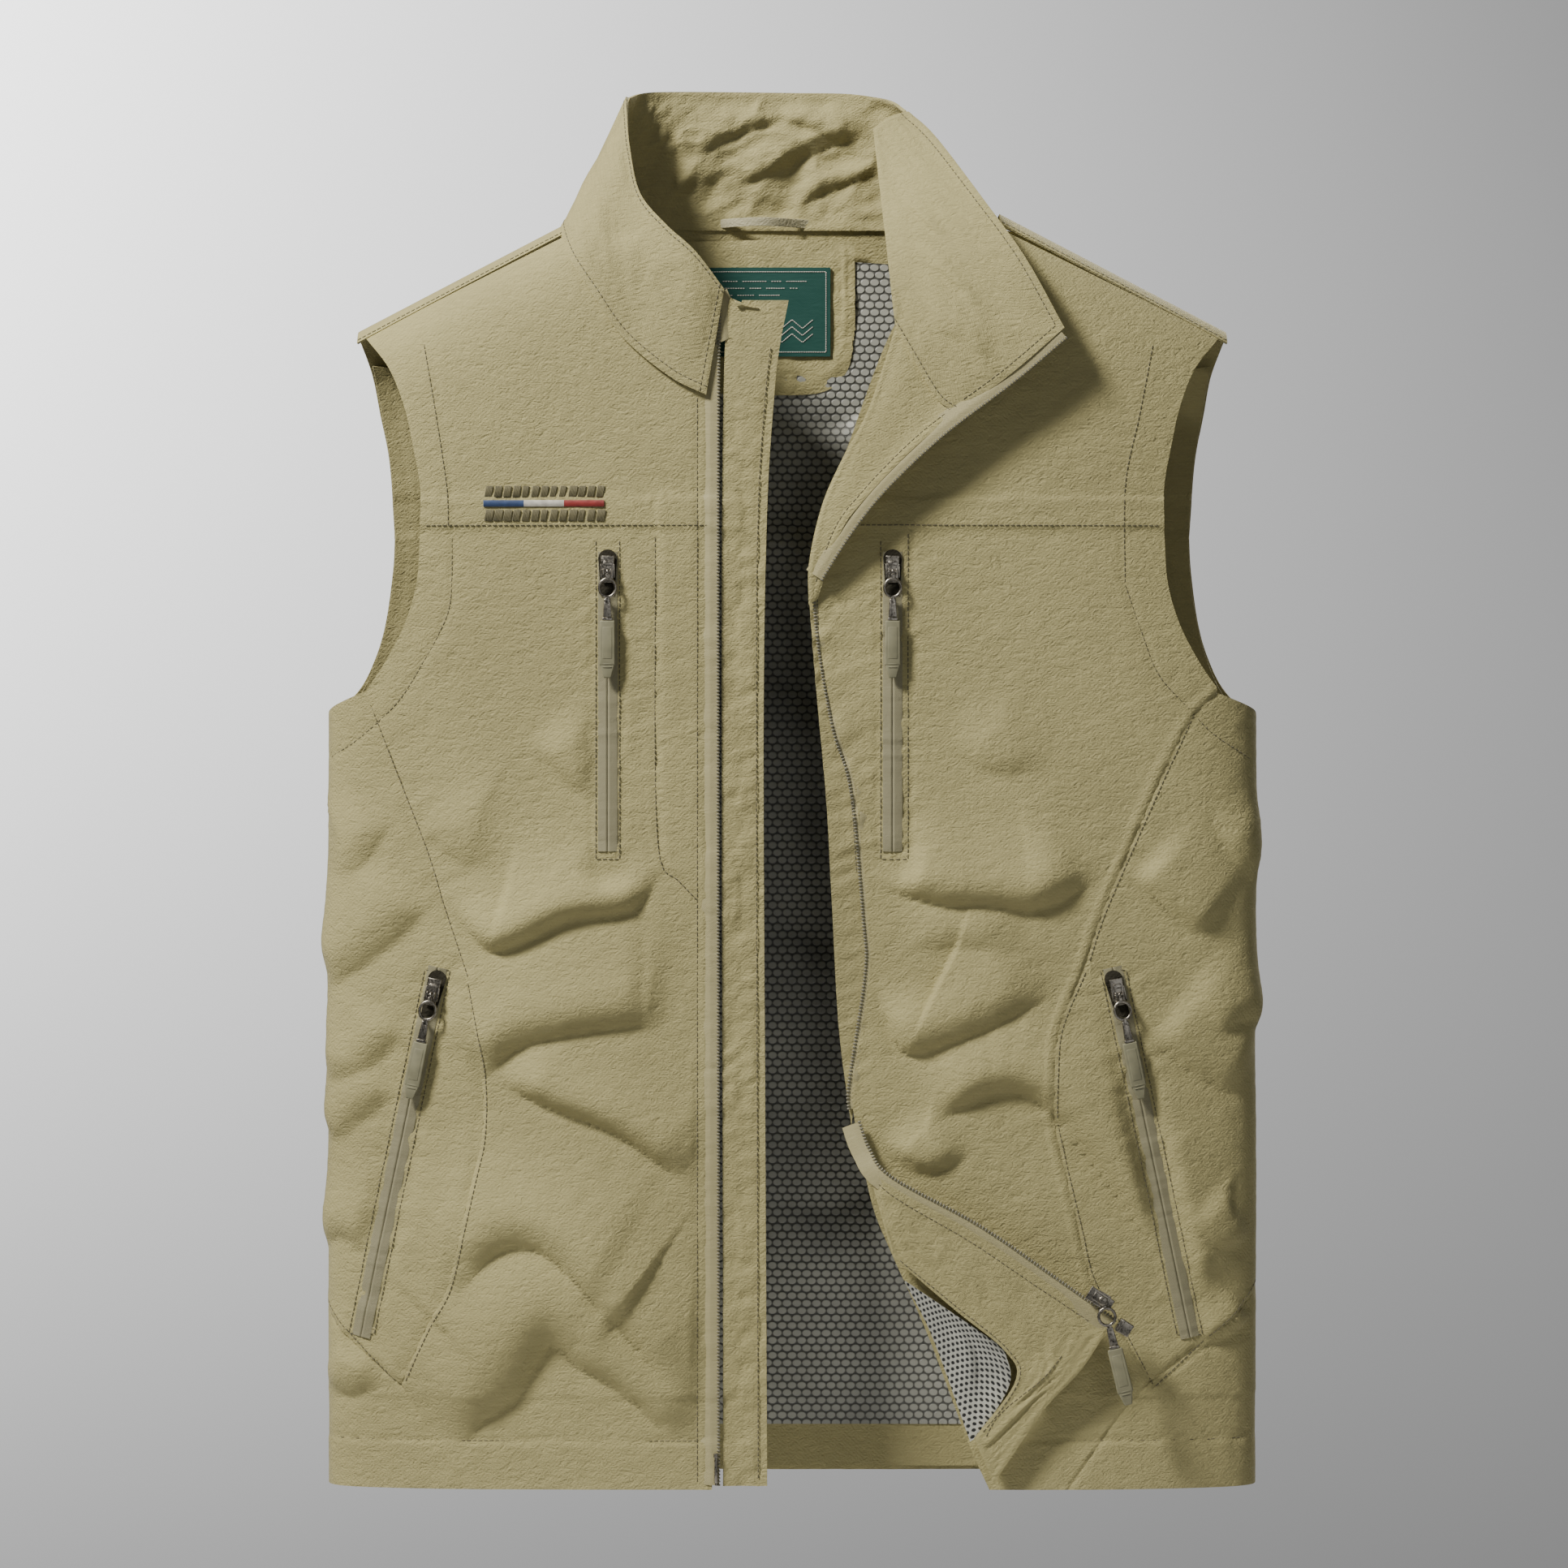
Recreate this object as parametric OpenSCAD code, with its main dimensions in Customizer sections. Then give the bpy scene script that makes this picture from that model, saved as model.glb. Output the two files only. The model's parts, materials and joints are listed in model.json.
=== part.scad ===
// Men's zip-front fishing vest with a stand collar, hung upright by its hanger loop.
// X runs across the vest, -Y is its front, +Z is up. Millimetres.
// The sewing outlines are [x, z] pairs measured from the middle of the hem.

/* [Body] */
// Half of the body's width, side seam to centre
half_w = 262; // [258:1:266]
// Half of the hung body's depth, front sheet to centre
half_depth = 38; // [34:1:42]
// Thickness of one cloth panel with its turned seams
cloth_t = 1.2; // [0.8:0.1:1.6]

/* [Shoulders] */
// Height of the shoulder's top line at the neck, above the hem
shoulder_z = 712; // [708:1:716]
// Half of the neck's width at the shoulder's top line
neck_x = 125; // [123:1:127]
// Fall of the shoulder line for each millimetre outwards
shoulder_fall = 0.52; // [0.48:0.01:0.56]
// Depth below the shoulder's top line over which the cloth rounds over
shoulder_round = 70; // [60:1:80]

/* [Zips] */
// Length of a slider's body
slider_l = 11.5; // [10:0.5:13]
// Width of a slider's body
slider_w = 9; // [8:0.5:10]
// Travel of the chest pocket sliders
chest_travel = 138; // [100:1:140]
// Travel of the hand pocket sliders
hand_travel = 165; // [120:1:168]
// Length of the rubber tab on each pull
tab_l = 32; // [26:1:34]

/* [Hanger] */
// Height of the hanger loop above the hem
hanger_z = 716; // [712:1:718]
// Length of the hanger loop between its two sewn ends
hanger_l = 62; // [54:1:66]

/* [Hidden] */

$fn = 24;
FRONT = -1;
BACK = 1;
seam_gap = 0.4;
square_power = 4;
turn = pow(0.5, 1 / square_power);
hanger_x = -18;
hanger_y = 24;
yoke_z = 536;
fold_x = -125;
tip_x = 246;
zip_x = -45;
flap_x = -40;
khaki = [0.66, 0.63, 0.47];
shade = [0.45, 0.43, 0.31];
tape_grey = [0.57, 0.55, 0.47];
mesh_grey = [0.55, 0.56, 0.55];
nickel = [0.36, 0.34, 0.30];
rubber_olive = [0.50, 0.49, 0.38];
teal = [0.12, 0.35, 0.30];

// ---- Surface of the hung body -------------------------------------------------------
function clamp01(v) = min(max(v, 0), 1);
function unit(v) = v / max(norm(v), 0.000001);

// Girth place of a point: the same as x / half_w on the flat, then even round the side
function girth(x) =
    let (u = clamp01(abs(x) / half_w), h = pow(1 - pow(u, square_power), 1 / square_power))
    sign(x) * (u <= turn ? u : turn + (1 - turn) * (1 - h / turn));
function girth_rest(a) = clamp01((abs(a) - turn) / (1 - turn));
function girth_depth(a) =
    abs(a) <= turn ? pow(1 - pow(abs(a), square_power), 1 / square_power)
                   : turn * (1 - girth_rest(a));
function girth_x(a) =
    abs(a) <= turn ? a * half_w
                   : sign(a) * half_w * pow(1 - pow(girth_depth(a), square_power), 1 / square_power);

function shoulder_top(x) = shoulder_z - shoulder_fall * (abs(x) - neck_x);
function rounding(d) = pow(1 - pow(1 - clamp01(d / shoulder_round), 2.5), 0.4);
function body_point(p, face) =
    let (x = girth_x(p[0]))
    [x, face * half_depth * girth_depth(p[0]) * rounding(shoulder_top(x) - p[1]), p[1]];

// ---- Outlines and lofts -------------------------------------------------------------
function run_length(p, i = 0) =
    i >= len(p) - 1 ? 0 : norm(p[i + 1] - p[i]) + run_length(p, i + 1);
function walk(p, d, i = 0) =
    let (s = norm(p[i + 1] - p[i]))
    (d <= s || i >= len(p) - 2) ? p[i] + (p[i + 1] - p[i]) * clamp01(d / max(s, 0.000001))
                                : walk(p, d - s, i + 1);
function at(p, t) = walk(p, t * run_length(p));
function mirrored(p) = [for (q = p) [-q[0], q[1]]];
function to_girth(p) = [for (q = p) [girth(q[0]), q[1]]];
function straight(a, b) = [a, b];

// Four-sided patch between left, right, bottom and top outlines
function patch(left, right, bottom, top, u, v) =
    (1 - u) * at(left, v) + u * at(right, v) + (1 - v) * at(bottom, u) + v * at(top, u)
    - (1 - u) * (1 - v) * left[0] - u * (1 - v) * right[0]
    - (1 - u) * v * left[len(left) - 1] - u * v * right[len(right) - 1];
function inset(i, n, size) =
    let (e = seam_gap / max(size, 1)) e + (1 - 2 * e) * i / n;

// Cloth of a grid of points, from "high" to "low" along the grid's own normal. Each cell is
// cut along its shorter diagonal, which keeps sheared cells on the curve.
module shell(g, high, low) {
    nv = len(g) - 1;
    nu = len(g[0]) - 1;
    n = (nu + 1) * (nv + 1);
    normal = [for (i = [0:nv]) [for (j = [0:nu])
        unit(cross(g[i][min(j + 1, nu)] - g[i][max(j - 1, 0)],
                   g[min(i + 1, nv)][j] - g[max(i - 1, 0)][j]))]];
    outer = [for (i = [0:nv], j = [0:nu]) g[i][j] + high * normal[i][j]];
    inner = [for (i = [0:nv], j = [0:nu]) g[i][j] + low * normal[i][j]];
    skins = [for (i = [0:nv - 1], j = [0:nu - 1])
        let (a = i * (nu + 1) + j, b = a + nu + 1, c = b + 1, d = a + 1,
             rising = norm(outer[c] - outer[a]) < norm(outer[d] - outer[b]))
        each rising ? [[a, b, c], [a, c, d], [n + a, n + c, n + b], [n + a, n + d, n + c]]
                    : [[a, b, d], [b, c, d], [n + a, n + d, n + b], [n + b, n + d, n + c]]];
    ends = [for (j = [0:nu - 1])
        let (a = j, d = j + 1, b = nv * (nu + 1) + j, c = b + 1)
        each [[a, d, n + d], [a, n + d, n + a], [c, b, n + b], [c, n + b, n + c]]];
    edges = [for (i = [0:nv - 1])
        let (a = i * (nu + 1), b = a + nu + 1, d = a + nu, c = b + nu)
        each [[b, a, n + a], [b, n + a, n + b], [d, c, n + c], [d, n + c, n + d]]];
    polyhedron(concat(outer, inner), concat(skins, ends, edges), convexity = 6);
}

// Panel that lies on the body's front or back, "in" millimetres under its outer face
module panel(left, right, bottom, top, face = FRONT, in = 0, t = cloth_t, nu = 6, nv = 10) {
    l = to_girth(left);
    r = to_girth(right);
    b = to_girth(bottom);
    p = to_girth(top);
    wide = run_length(bottom);
    tall = run_length(left);
    grid = [for (i = [0:nv]) [for (j = [0:nu])
        body_point(patch(l, r, b, p, inset(j, nu, wide), inset(i, nv, tall)), face)]];
    high = face == FRONT ? -in : in + t;
    shell(grid, high, high - t);
}

// Panel between four outlines given as points in space
module free_panel(left, right, bottom, top, t = cloth_t, nu = 6, nv = 8) {
    grid = [for (i = [0:nv]) [for (j = [0:nu])
        patch(left, right, bottom, top, inset(j, nu, 40), inset(i, nv, 60))]];
    shell(grid, t / 2, -t / 2);
}

// Strip of cloth between a lower and an upper route in space
module strip(low, high, t = cloth_t, nu = 12, nv = 3) {
    grid = [for (i = [0:nv]) [for (j = [0:nu])
        let (u = inset(j, nu, 120), v = inset(i, nv, 60))
        (1 - v) * at(low, u) + v * at(high, u)]];
    shell(grid, t / 2, -t / 2);
}

// Everything is drawn from the hem's middle and then moved to the hanger loop
module hung() {
    translate([-hanger_x, -hanger_y, -hanger_z]) children();
}

// ---- Outlines of the front, right side of the wearer at -X ---------------------------
armhole_front_low = [[-239, 446], [-228, 462], [-217, 483], [-210, 507], [-208, yoke_z]];
armhole_front_high = [[-208, yoke_z], [-208, 560], [-212, 583], [-217, 605], [-226, 627],
    [-240, 645]];
armhole_back_low = [[-261, 430], [-248, 447], [-239, 465], [-233, 486], [-229, 516],
    [-228, yoke_z]];
armhole_back_high = [[-228, yoke_z], [-231, 578], [-236, 605], [-240, 627], [-tip_x, 646]];
neckline = [[zip_x, 614], [-67, 624], [-92, 645], [-108, 669], [-120, 687], [fold_x, 703]];
side_seam_right = [[-219, 58], [-204, 91], [-191, 116], [-178, 174], [-173, 199],
    [-174, 234], [-183, 288], [-197, 331], [-206, 361], [-224, 407], [-239, 446]];
hip_seam_right = [[-183, 0], [-200, 27], [-219, 58]];
side_seam_left = [[200, 60], [183, 90], [167, 117], [160, 145], [151, 183], [146, 209],
    [146, 235], [149, 258], [162, 289], [173, 322], [190, 361], [207, 399], [223, 433],
    [233, 450]];
hip_seam_left = [[154, 0], [181, 38], [200, 60]];
edge_left = [[110, 0], [98, 27], [75, 88], [55, 133], [45, 158], [38, 190], [34, 212],
    [34, 227], [43, 288], [42, 318], [35, 391], [25, 425], [15, 470], [14, yoke_z]];
facing_edge_left = [[33, 203], [26, 258], [22, 330], [19, 385], [14, 440], [9, 502]];
zip_edge_left = [[34, 212], [34, 227], [43, 288], [42, 318], [35, 391], [25, 425], [17, 470],
    [14, 502]];
flap_edge = [[-14, 2], [-15, 195], [-16, 425], [-14, 547], [-10, 611], [-7, 638], [-2, 664]];

// ---- Back ---------------------------------------------------------------------------
module back_panel() {
    side = concat([[-half_w, 0], [-half_w, 200], [-half_w, 400]], armhole_back_low);
    color(khaki) hung()
        panel(side, mirrored(side), straight([-half_w, 0], [half_w, 0]),
              straight([-228, yoke_z], [228, yoke_z]), face = BACK, nu = 28, nv = 18);
}

module back_yoke() {
    neck = [[-115, 711], [-60, 715], [0, 716]];
    half_top = concat([[-tip_x, 646], [-neck_x, 709]], neck);
    other = [[60, 715], [115, 711], [neck_x, 709], [tip_x, 646]];
    color(khaki) hung()
        panel(armhole_back_high, mirrored(armhole_back_high),
              straight([-228, yoke_z], [228, yoke_z]), concat(half_top, other),
              face = BACK, nu = 28, nv = 12);
}

module back_lining() {
    side = [[-232, 28], [-232, 400], [-230, 445], [-224, 486], [-216, yoke_z], [-210, 600]];
    color(mesh_grey) hung()
        panel(side, mirrored(side), straight([-232, 28], [232, 28]),
              straight([-210, 600], [210, 600]), face = BACK, in = 4.4, t = 0.8,
              nu = 24, nv = 10);
}

module back_hem_band() {
    color(shade) hung()
        panel(straight([-224, 5], [-224, 25]), straight([224, 5], [224, 25]),
              straight([-224, 5], [224, 5]), straight([-224, 25], [224, 25]),
              face = BACK, in = 2.6, t = 0.8, nu = 24, nv = 1);
}

module back_neck_facing() {
    left = [[-66, 655], [-66, 690], [-66, 704]];
    right = [[36, 655], [36, 690], [36, 704]];
    bottom = [[-66, 655], [-62, 632], [-48, 619], [-15, 617], [18, 619], [32, 632], [36, 655]];
    color(khaki) hung()
        panel(left, right, bottom, straight([-66, 704], [36, 704]), face = BACK, in = 5.8,
              t = 0.8, nu = 14, nv = 6);
}

module neck_label() {
    color(teal) hung()
        panel(straight([-50, 639], [-50, 690]), straight([22, 639], [22, 690]),
              straight([-50, 639], [22, 639]), straight([-50, 690], [22, 690]), face = BACK,
              in = 7.2, t = 0.8, nu = 6, nv = 4);
}

// Tape strap bowed forwards off the neck seam, so a peg goes behind it
module hanger_loop() {
    bow = 9.7;
    steps = 12;
    half = hanger_l / 2;
    tape_t = 1;
    crest = [for (i = [0:steps])
        let (s = -1 + 2 * i / steps) [half * s, bow * s * s * (2 - s * s)]];
    back_edge = [for (i = [0:steps]) crest[steps - i] + [0, tape_t]];
    color(shade) hung() translate([hanger_x, hanger_y - tape_t / 2, hanger_z - 2.5])
        linear_extrude(5) polygon(concat(crest, back_edge));
}

// ---- Collar -------------------------------------------------------------------------
module collar_back() {
    low = [[-124, 4, 713.5], [-110, 19, 715], [-80, 33, 717.4], [0, 38.2, 717.4], [80, 33, 717.4],
        [108, 17, 715], [117, 4, 711]];
    high = [[-93, 6, 784], [-84, 20, 789], [-60, 30, 791], [0, 34, 791], [35, 32, 790],
        [55, 22, 785], [64, 9, 777]];
    color(khaki) hung() strip(low, high, t = 1.6, nu = 20, nv = 4);
}

module collar_right() {
    low = [[-47, -40, 616], [-67, -40, 626], [-92, -39, 647], [-109, -36, 671],
        [-121, -30, 690], [-126, -15, 709], [-125, 2, 714]];
    high = [[-37, -44, 671], [-54, -43, 691], [-70, -39, 706], [-85, -30, 725],
        [-91, -18, 752], [-93, -5, 774], [-93.5, 4, 784]];
    color(khaki) hung() strip(low, high, t = 1.6, nu = 16, nv = 4);
}

module collar_left_stand() {
    low = [[118, 3, 712], [110, -16, 702], [96, -32.5, 690], [76, -39.2, 669], [60, -40.5, 654]];
    high = [[63, 7, 776], [49, 2, 765], [51, -13, 724], [55, -33, 680], [57, -42.5, 655]];
    color(shade) hung() strip(high, low, t = 1.2, nu = 14, nv = 4);
}

// Leaf that is rolled outwards over the stand, from the roll line to its free edge
module collar_left_leaf() {
    roll = [[57, -46.5, 650], [54, -38.5, 680], [50, -18.5, 724], [46, -1.5, 765]];
    free_edge = [[92, -51, 600], [130, -51, 627], [151, -50, 647], [130, -46.5, 686],
        [106, -33.5, 722], [81, -10, 759], [66, 2, 775]];
    gorge = [[57, -46.5, 650], [66, -49, 632], [80, -50, 608], [92, -51, 600]];
    color(khaki) hung()
        free_panel(roll, free_edge, gorge, straight(roll[3], free_edge[6]), t = 1.6,
                   nu = 8, nv = 14);
}

module lapel_facing_left() {
    roll = [[8, -42, 504], [10, -43, 521], [17, -45, 550], [29, -46, 577], [43, -47, 604],
        [56, -47, 648]];
    free_edge = [[12, -43, 510], [27, -47, 534], [42, -49, 554], [58, -50, 571], [74, -51, 586],
        [88, -51, 597]];
    color(khaki) hung()
        free_panel(roll, free_edge, [[8, -42, 504], [12, -43, 510]],
                   [[56, -47, 648], [65, -49, 630], [79, -50, 606], [88, -51, 597]],
                   t = 1.2, nu = 5, nv = 8);
}

// ---- Shoulders and armholes ---------------------------------------------------------
// Forward yoke that wraps over the shoulder's top line, from the back to the front seam
module shoulder_yoke(side) {
    falls = [[FRONT, 7.5], [FRONT, 3], [FRONT, 0.8], [BACK, 0], [BACK, 0.8], [BACK, 2.6]];
    columns = 10;
    rows = side < 0 ? falls : [for (i = [len(falls) - 1:-1:0]) falls[i]];
    grid = [for (f = rows) [for (j = [0:columns])
        let (x = side * (neck_x + 1 + (tip_x - neck_x - 2) * j / columns),
             y = half_depth * girth_depth(girth(x)) * rounding(f[1]))
        [x, f[0] * y, shoulder_top(x) - f[1]]]];
    shell(grid, 0, -cloth_t);
}
module shoulder_yoke_right() {
    color(khaki) hung() shoulder_yoke(-1);
}
module shoulder_yoke_left() {
    color(khaki) hung() shoulder_yoke(1);
}

// Facing band inside the back of the armhole
module armhole_facing(side) {
    outer = [[-238, 446], [-236, 458], [-236, 470], [-231, 490], [-228, 516], [-228, 547],
        [-230, 578], [-235, 605], [-238, 622]];
    inner = [[-228, 436], [-226, 450], [-221, 462], [-214, 486], [-211, 516], [-211, 547],
        [-213, 578], [-217, 605], [-221, 622]];
    o = side < 0 ? outer : mirrored(inner);
    i = side < 0 ? inner : mirrored(outer);
    panel(o, i, straight(o[0], i[0]), straight(o[8], i[8]), face = BACK, in = 3, t = 0.8,
          nu = 2, nv = 12);
}
module armhole_facing_right() {
    color(shade) hung() armhole_facing(-1);
}
module armhole_facing_left() {
    color(shade) hung() armhole_facing(1);
}

// ---- Left front, at +X --------------------------------------------------------------
module front_yoke_left() {
    color(khaki) hung()
        panel([[14, yoke_z], [29, 577], [57, 650], [84, 679], [118, 705]],
              mirrored(armhole_front_high), straight([14, yoke_z], [208, yoke_z]),
              straight([118, 705], [240, 645]), nu = 10, nv = 8);
}

module chest_panel_left() {
    color(khaki) hung()
        panel(edge_left, concat(hip_seam_left, side_seam_left, mirrored(armhole_front_low)),
              straight([110, 0], [154, 0]), straight([14, yoke_z], [208, yoke_z]),
              nu = 8, nv = 24);
}

module side_panel_left() {
    color(khaki) hung()
        panel(side_seam_left, straight([half_w, 120], [half_w, 430]),
              straight([200, 60], [half_w, 120]), straight([233, 450], [half_w, 430]),
              nu = 9, nv = 16);
}

module hip_panel_left() {
    color(khaki) hung()
        panel(hip_seam_left, straight([half_w, 0], [half_w, 120]),
              straight([154, 0], [half_w, 0]), straight([200, 60], [half_w, 120]),
              nu = 8, nv = 5);
}

module front_facing_left() {
    color(khaki) hung()
        panel(facing_edge_left, zip_edge_left, straight([33, 203], [34, 212]),
              straight([9, 502], [14, 502]), in = 2, t = 0.8, nu = 3, nv = 16);
}

// One continuous tape: down the lapel's edge, the front edge and out along the corner
module main_zip_tape_left() {
    tape_w = 5;
    lapel_low = [[16, -47, 513], [42, -51.5, 550], [88, -53.5, 594], [130, -53.5, 624],
        [150, -52.5, 642]];
    front_low = [[35, -41, 212], [43.5, -41, 288], [42.5, -41, 318], [36, -41, 391],
        [26, -41, 425], [15, -41, 500]];
    corner_low = [[54, -52, 176], [116, -53, 139], [178, -54, 101]];
    color(tape_grey) hung() {
        strip(lapel_low, [for (p = lapel_low) p + [-2.5, 0, tape_w]], t = 0.8, nu = 10, nv = 1);
        strip([for (p = front_low) p + [-tape_w, 0, 0]], front_low, t = 0.8, nu = 12, nv = 1);
        strip(corner_low, [for (p = corner_low) p + [2.5, 0, tape_w]], t = 0.8, nu = 6, nv = 1);
    }
}

module corner_facing_left() {
    color(khaki) hung()
        strip([[56, -47, 131], [90, -47, 102], [118, -47, 79], [124, -47, 62], [101, -46.5, 30]],
              [[40, -45, 188], [53, -49, 173], [102, -50, 146], [143, -50, 118], [177, -50, 94],
               [160, -48, 68], [140, -47, 46], [112, -46, 5]],
              t = 1.2, nu = 18, nv = 3);
}

module corner_mesh_left() {
    mesh_y = -44.4;
    color(mesh_grey) hung()
        free_panel([[99, mesh_y, 30], [78, mesh_y, 86], [64, mesh_y, 116]],
                   [[103, mesh_y, 34], [119, mesh_y, 60], [114, mesh_y, 78]],
                   straight([99, mesh_y, 30], [103, mesh_y, 34]),
                   straight([64, mesh_y, 116], [114, mesh_y, 78]), t = 0.8, nu = 5, nv = 5);
}

module front_lining_left() {
    color(mesh_grey) hung()
        panel([[112, 28], [60, 133], [48, 212], [52, 318], [40, 425], [30, yoke_z]],
              [[240, 28], [246, 300], [238, 430], [204, 500], [200, yoke_z]],
              straight([112, 28], [240, 28]), straight([30, yoke_z], [200, yoke_z]),
              in = 4.4, t = 0.8, nu = 8, nv = 12);
}

// ---- Right front, at -X -------------------------------------------------------------
module front_yoke_right_outer() {
    color(khaki) hung()
        panel(armhole_front_high, straight([fold_x, yoke_z], [fold_x, 702]),
              straight([-208, yoke_z], [fold_x, yoke_z]), straight([-240, 645], [fold_x, 702]),
              nu = 6, nv = 8);
}

module chest_panel_right_outer() {
    color(khaki) hung()
        panel(concat(hip_seam_right, side_seam_right, armhole_front_low),
              straight([fold_x, 0], [fold_x, yoke_z]), straight([-183, 0], [fold_x, 0]),
              straight([-208, yoke_z], [fold_x, yoke_z]), nu = 5, nv = 24);
}

module side_panel_right() {
    color(khaki) hung()
        panel(straight([-half_w, 109], [-half_w, 430]), side_seam_right,
              straight([-half_w, 109], [-219, 58]), straight([-half_w, 430], [-239, 446]),
              nu = 8, nv = 16);
}

module hip_panel_right() {
    color(khaki) hung()
        panel(straight([-half_w, 0], [-half_w, 109]), hip_seam_right,
              straight([-half_w, 0], [-183, 0]), straight([-half_w, 109], [-219, 58]),
              nu = 8, nv = 5);
}

module front_yoke_right() {
    color(khaki) hung()
        panel(straight([fold_x, yoke_z], [fold_x, 702]), straight([zip_x, yoke_z], [zip_x, 614]),
              straight([fold_x, yoke_z], [zip_x, yoke_z]),
              [for (i = [len(neckline) - 1:-1:0]) neckline[i]], nu = 8, nv = 6);
}

module chest_panel_right() {
    color(khaki) hung()
        panel(straight([fold_x, 0], [fold_x, yoke_z]), straight([zip_x, 0], [zip_x, yoke_z]),
              straight([fold_x, 0], [zip_x, 0]), straight([fold_x, yoke_z], [zip_x, yoke_z]),
              nu = 3, nv = 6);
}

module main_zip_tape_right() {
    color(tape_grey) hung()
        panel([[zip_x, 2], [zip_x, 612], [-36, 668]], [[flap_x, 2], [flap_x, 612], [-31, 668]],
              straight([zip_x, 2], [flap_x, 2]), straight([-36, 668], [-31, 668]),
              t = 0.8, nu = 1, nv = 10);
}

module wind_flap() {
    left = flap_x + 0.6;
    color(khaki) hung()
        panel([[left, 2], [left, 611], [-30, 666]], flap_edge, straight([left, 2], [-14, 2]),
              straight([-30, 666], [-2, 664]), in = 1, nu = 3, nv = 14);
}

module front_lining_right() {
    color(mesh_grey) hung()
        panel(straight([fold_x + 6, 28], [fold_x + 6, 640]), straight([-52, 28], [-52, 600]),
              straight([fold_x + 6, 28], [-52, 28]), straight([fold_x + 6, 640], [-52, 600]),
              in = 4.4, t = 0.8, nu = 3, nv = 8);
}

module insert_pin() {
    color(nickel) hung() translate([-42.5, -half_depth - 1.6, 4]) cylinder(h = 16, r = 1.1);
}

module retaining_box() {
    color(nickel) hung() translate([184, -53.5, 92.5]) rotate([0, 32, 0])
        cube([9, 3, 8], center = true);
}

// Raised satin-stitch bars
module embroidery() {
    bar_z = 551;
    colours = [[0.20, 0.30, 0.50], [0.85, 0.83, 0.78], [0.65, 0.15, 0.15]];
    for (i = [0:2])
        color(colours[i]) hung() translate([-121 + 7.3 * i, -half_depth - 0.6, bar_z])
            cube([7, 0.8, 4]);
}

// ---- Pockets ------------------------------------------------------------------------
chest_x_right = -103;
chest_x_left = 56;
chest_top = 518;
chest_end = chest_top - chest_travel - 2 * slider_l - 1;
hand_right = [-200, -36.8, 282];
hand_left = [181, -38, 282];
hand_lean = 11.9;
hand_run = (hand_travel + 28) * [sin(hand_lean), -cos(hand_lean)];
tape_half = 5.5;

// Zip tapes that stand just proud of the cloth, from a lower to an upper [x, z] end
module pocket_tape(low, high, nv) {
    w = [tape_half, 0];
    panel(straight(low - w, high - w), straight(low + w, high + w), straight(low - w, low + w),
          straight(high - w, high + w), in = -1.2, t = 0.8, nu = 2, nv = nv);
}
module chest_tape(x) {
    pocket_tape([x, chest_end], [x, chest_top + 6], 4);
}
module hand_tape(high, side) {
    top = [high[0], high[2]];
    end = top + [side * hand_run[0], hand_run[1]];
    pocket_tape(end - [0, 8], top + [0, 10], 10);
}
module chest_zip_tape_right() {
    color(tape_grey) hung() chest_tape(chest_x_right);
}
module chest_zip_tape_left() {
    color(tape_grey) hung() chest_tape(chest_x_left);
}
module hand_zip_tape_right() {
    color(tape_grey) hung() hand_tape(hand_right, -1);
}
module hand_zip_tape_left() {
    color(tape_grey) hung() hand_tape(hand_left, 1);
}

module bag(x0, x1, z0, z1) {
    panel(straight([x0, z0], [x0, z1]), straight([x1, z0], [x1, z1]), straight([x0, z0], [x1, z0]),
          straight([x0, z1], [x1, z1]), in = 2.4, t = 1.2, nu = 8, nv = 4);
}
module chest_pocket_bag_right() {
    color(shade) hung() bag(fold_x + 4, -52, 345, 528);
}
module chest_pocket_bag_left() {
    color(shade) hung() bag(50, 190, 345, 528);
}
module hand_pocket_bag_right() {
    color(shade) hung() bag(-228, -140, 75, 300);
}
module hand_pocket_bag_left() {
    color(shade) hung() bag(120, 228, 75, 300);
}

// ---- Sliders and pulls --------------------------------------------------------------
// A slider stands on its zip's plane at y = 0, with its wedge end up and its nose at -Y
plate_t = 1;
pivot_y = -3;
pin_r = 0.6;
ear_gap = 1.6;

module slider_plate() {
    wedge_r = slider_w / 2;
    translate([-wedge_r, -plate_t, -slider_l / 2]) cube([slider_w, plate_t, slider_l]);
    translate([0, 0, slider_l / 2]) rotate([90, 0, 0]) cylinder(h = plate_t, r = wedge_r);
}

// Slider with two ears and a cross pin, for a pull that lifts away from the cloth
module slider() {
    ear = [1, 3.4, 3.2];
    color(nickel) union() {
        slider_plate();
        for (x = [-ear_gap - ear[0], ear_gap])
            translate([x, -plate_t - ear[1], -ear[2] / 2]) cube(ear);
        translate([-ear_gap - ear[0] / 2, pivot_y, 0]) rotate([0, 90, 0])
            cylinder(h = 2 * ear_gap + ear[0], r = pin_r);
    }
}

// Eye on the cross pin, ring, and flat metal puller in one casting
module pull() {
    eye_r = 1.5;
    bore_r = pin_r + 0.08;
    ring_z = -9;
    ring_r = 5.6;
    hole_r = 3.6;
    wire_t = 1.4;
    color(nickel) difference() {
        union() {
            translate([-1.3, pivot_y, 0]) rotate([0, 90, 0]) cylinder(h = 2.6, r = eye_r);
            translate([-1.3, pivot_y - wire_t / 2, ring_z + hole_r + 0.4])
                cube([2.6, wire_t, -ring_z - hole_r - 1]);
            translate([0, pivot_y + wire_t / 2, ring_z]) rotate([90, 0, 0])
                cylinder(h = wire_t, r = ring_r);
            translate([-2, pivot_y - wire_t / 2, -27]) cube([4, wire_t, 14]);
        }
        translate([-2, pivot_y, 0]) rotate([0, 90, 0]) cylinder(h = 4, r = bore_r);
        translate([0, pivot_y + 2, ring_z]) rotate([90, 0, 0]) cylinder(h = 4, r = hole_r);
    }
}

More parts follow.
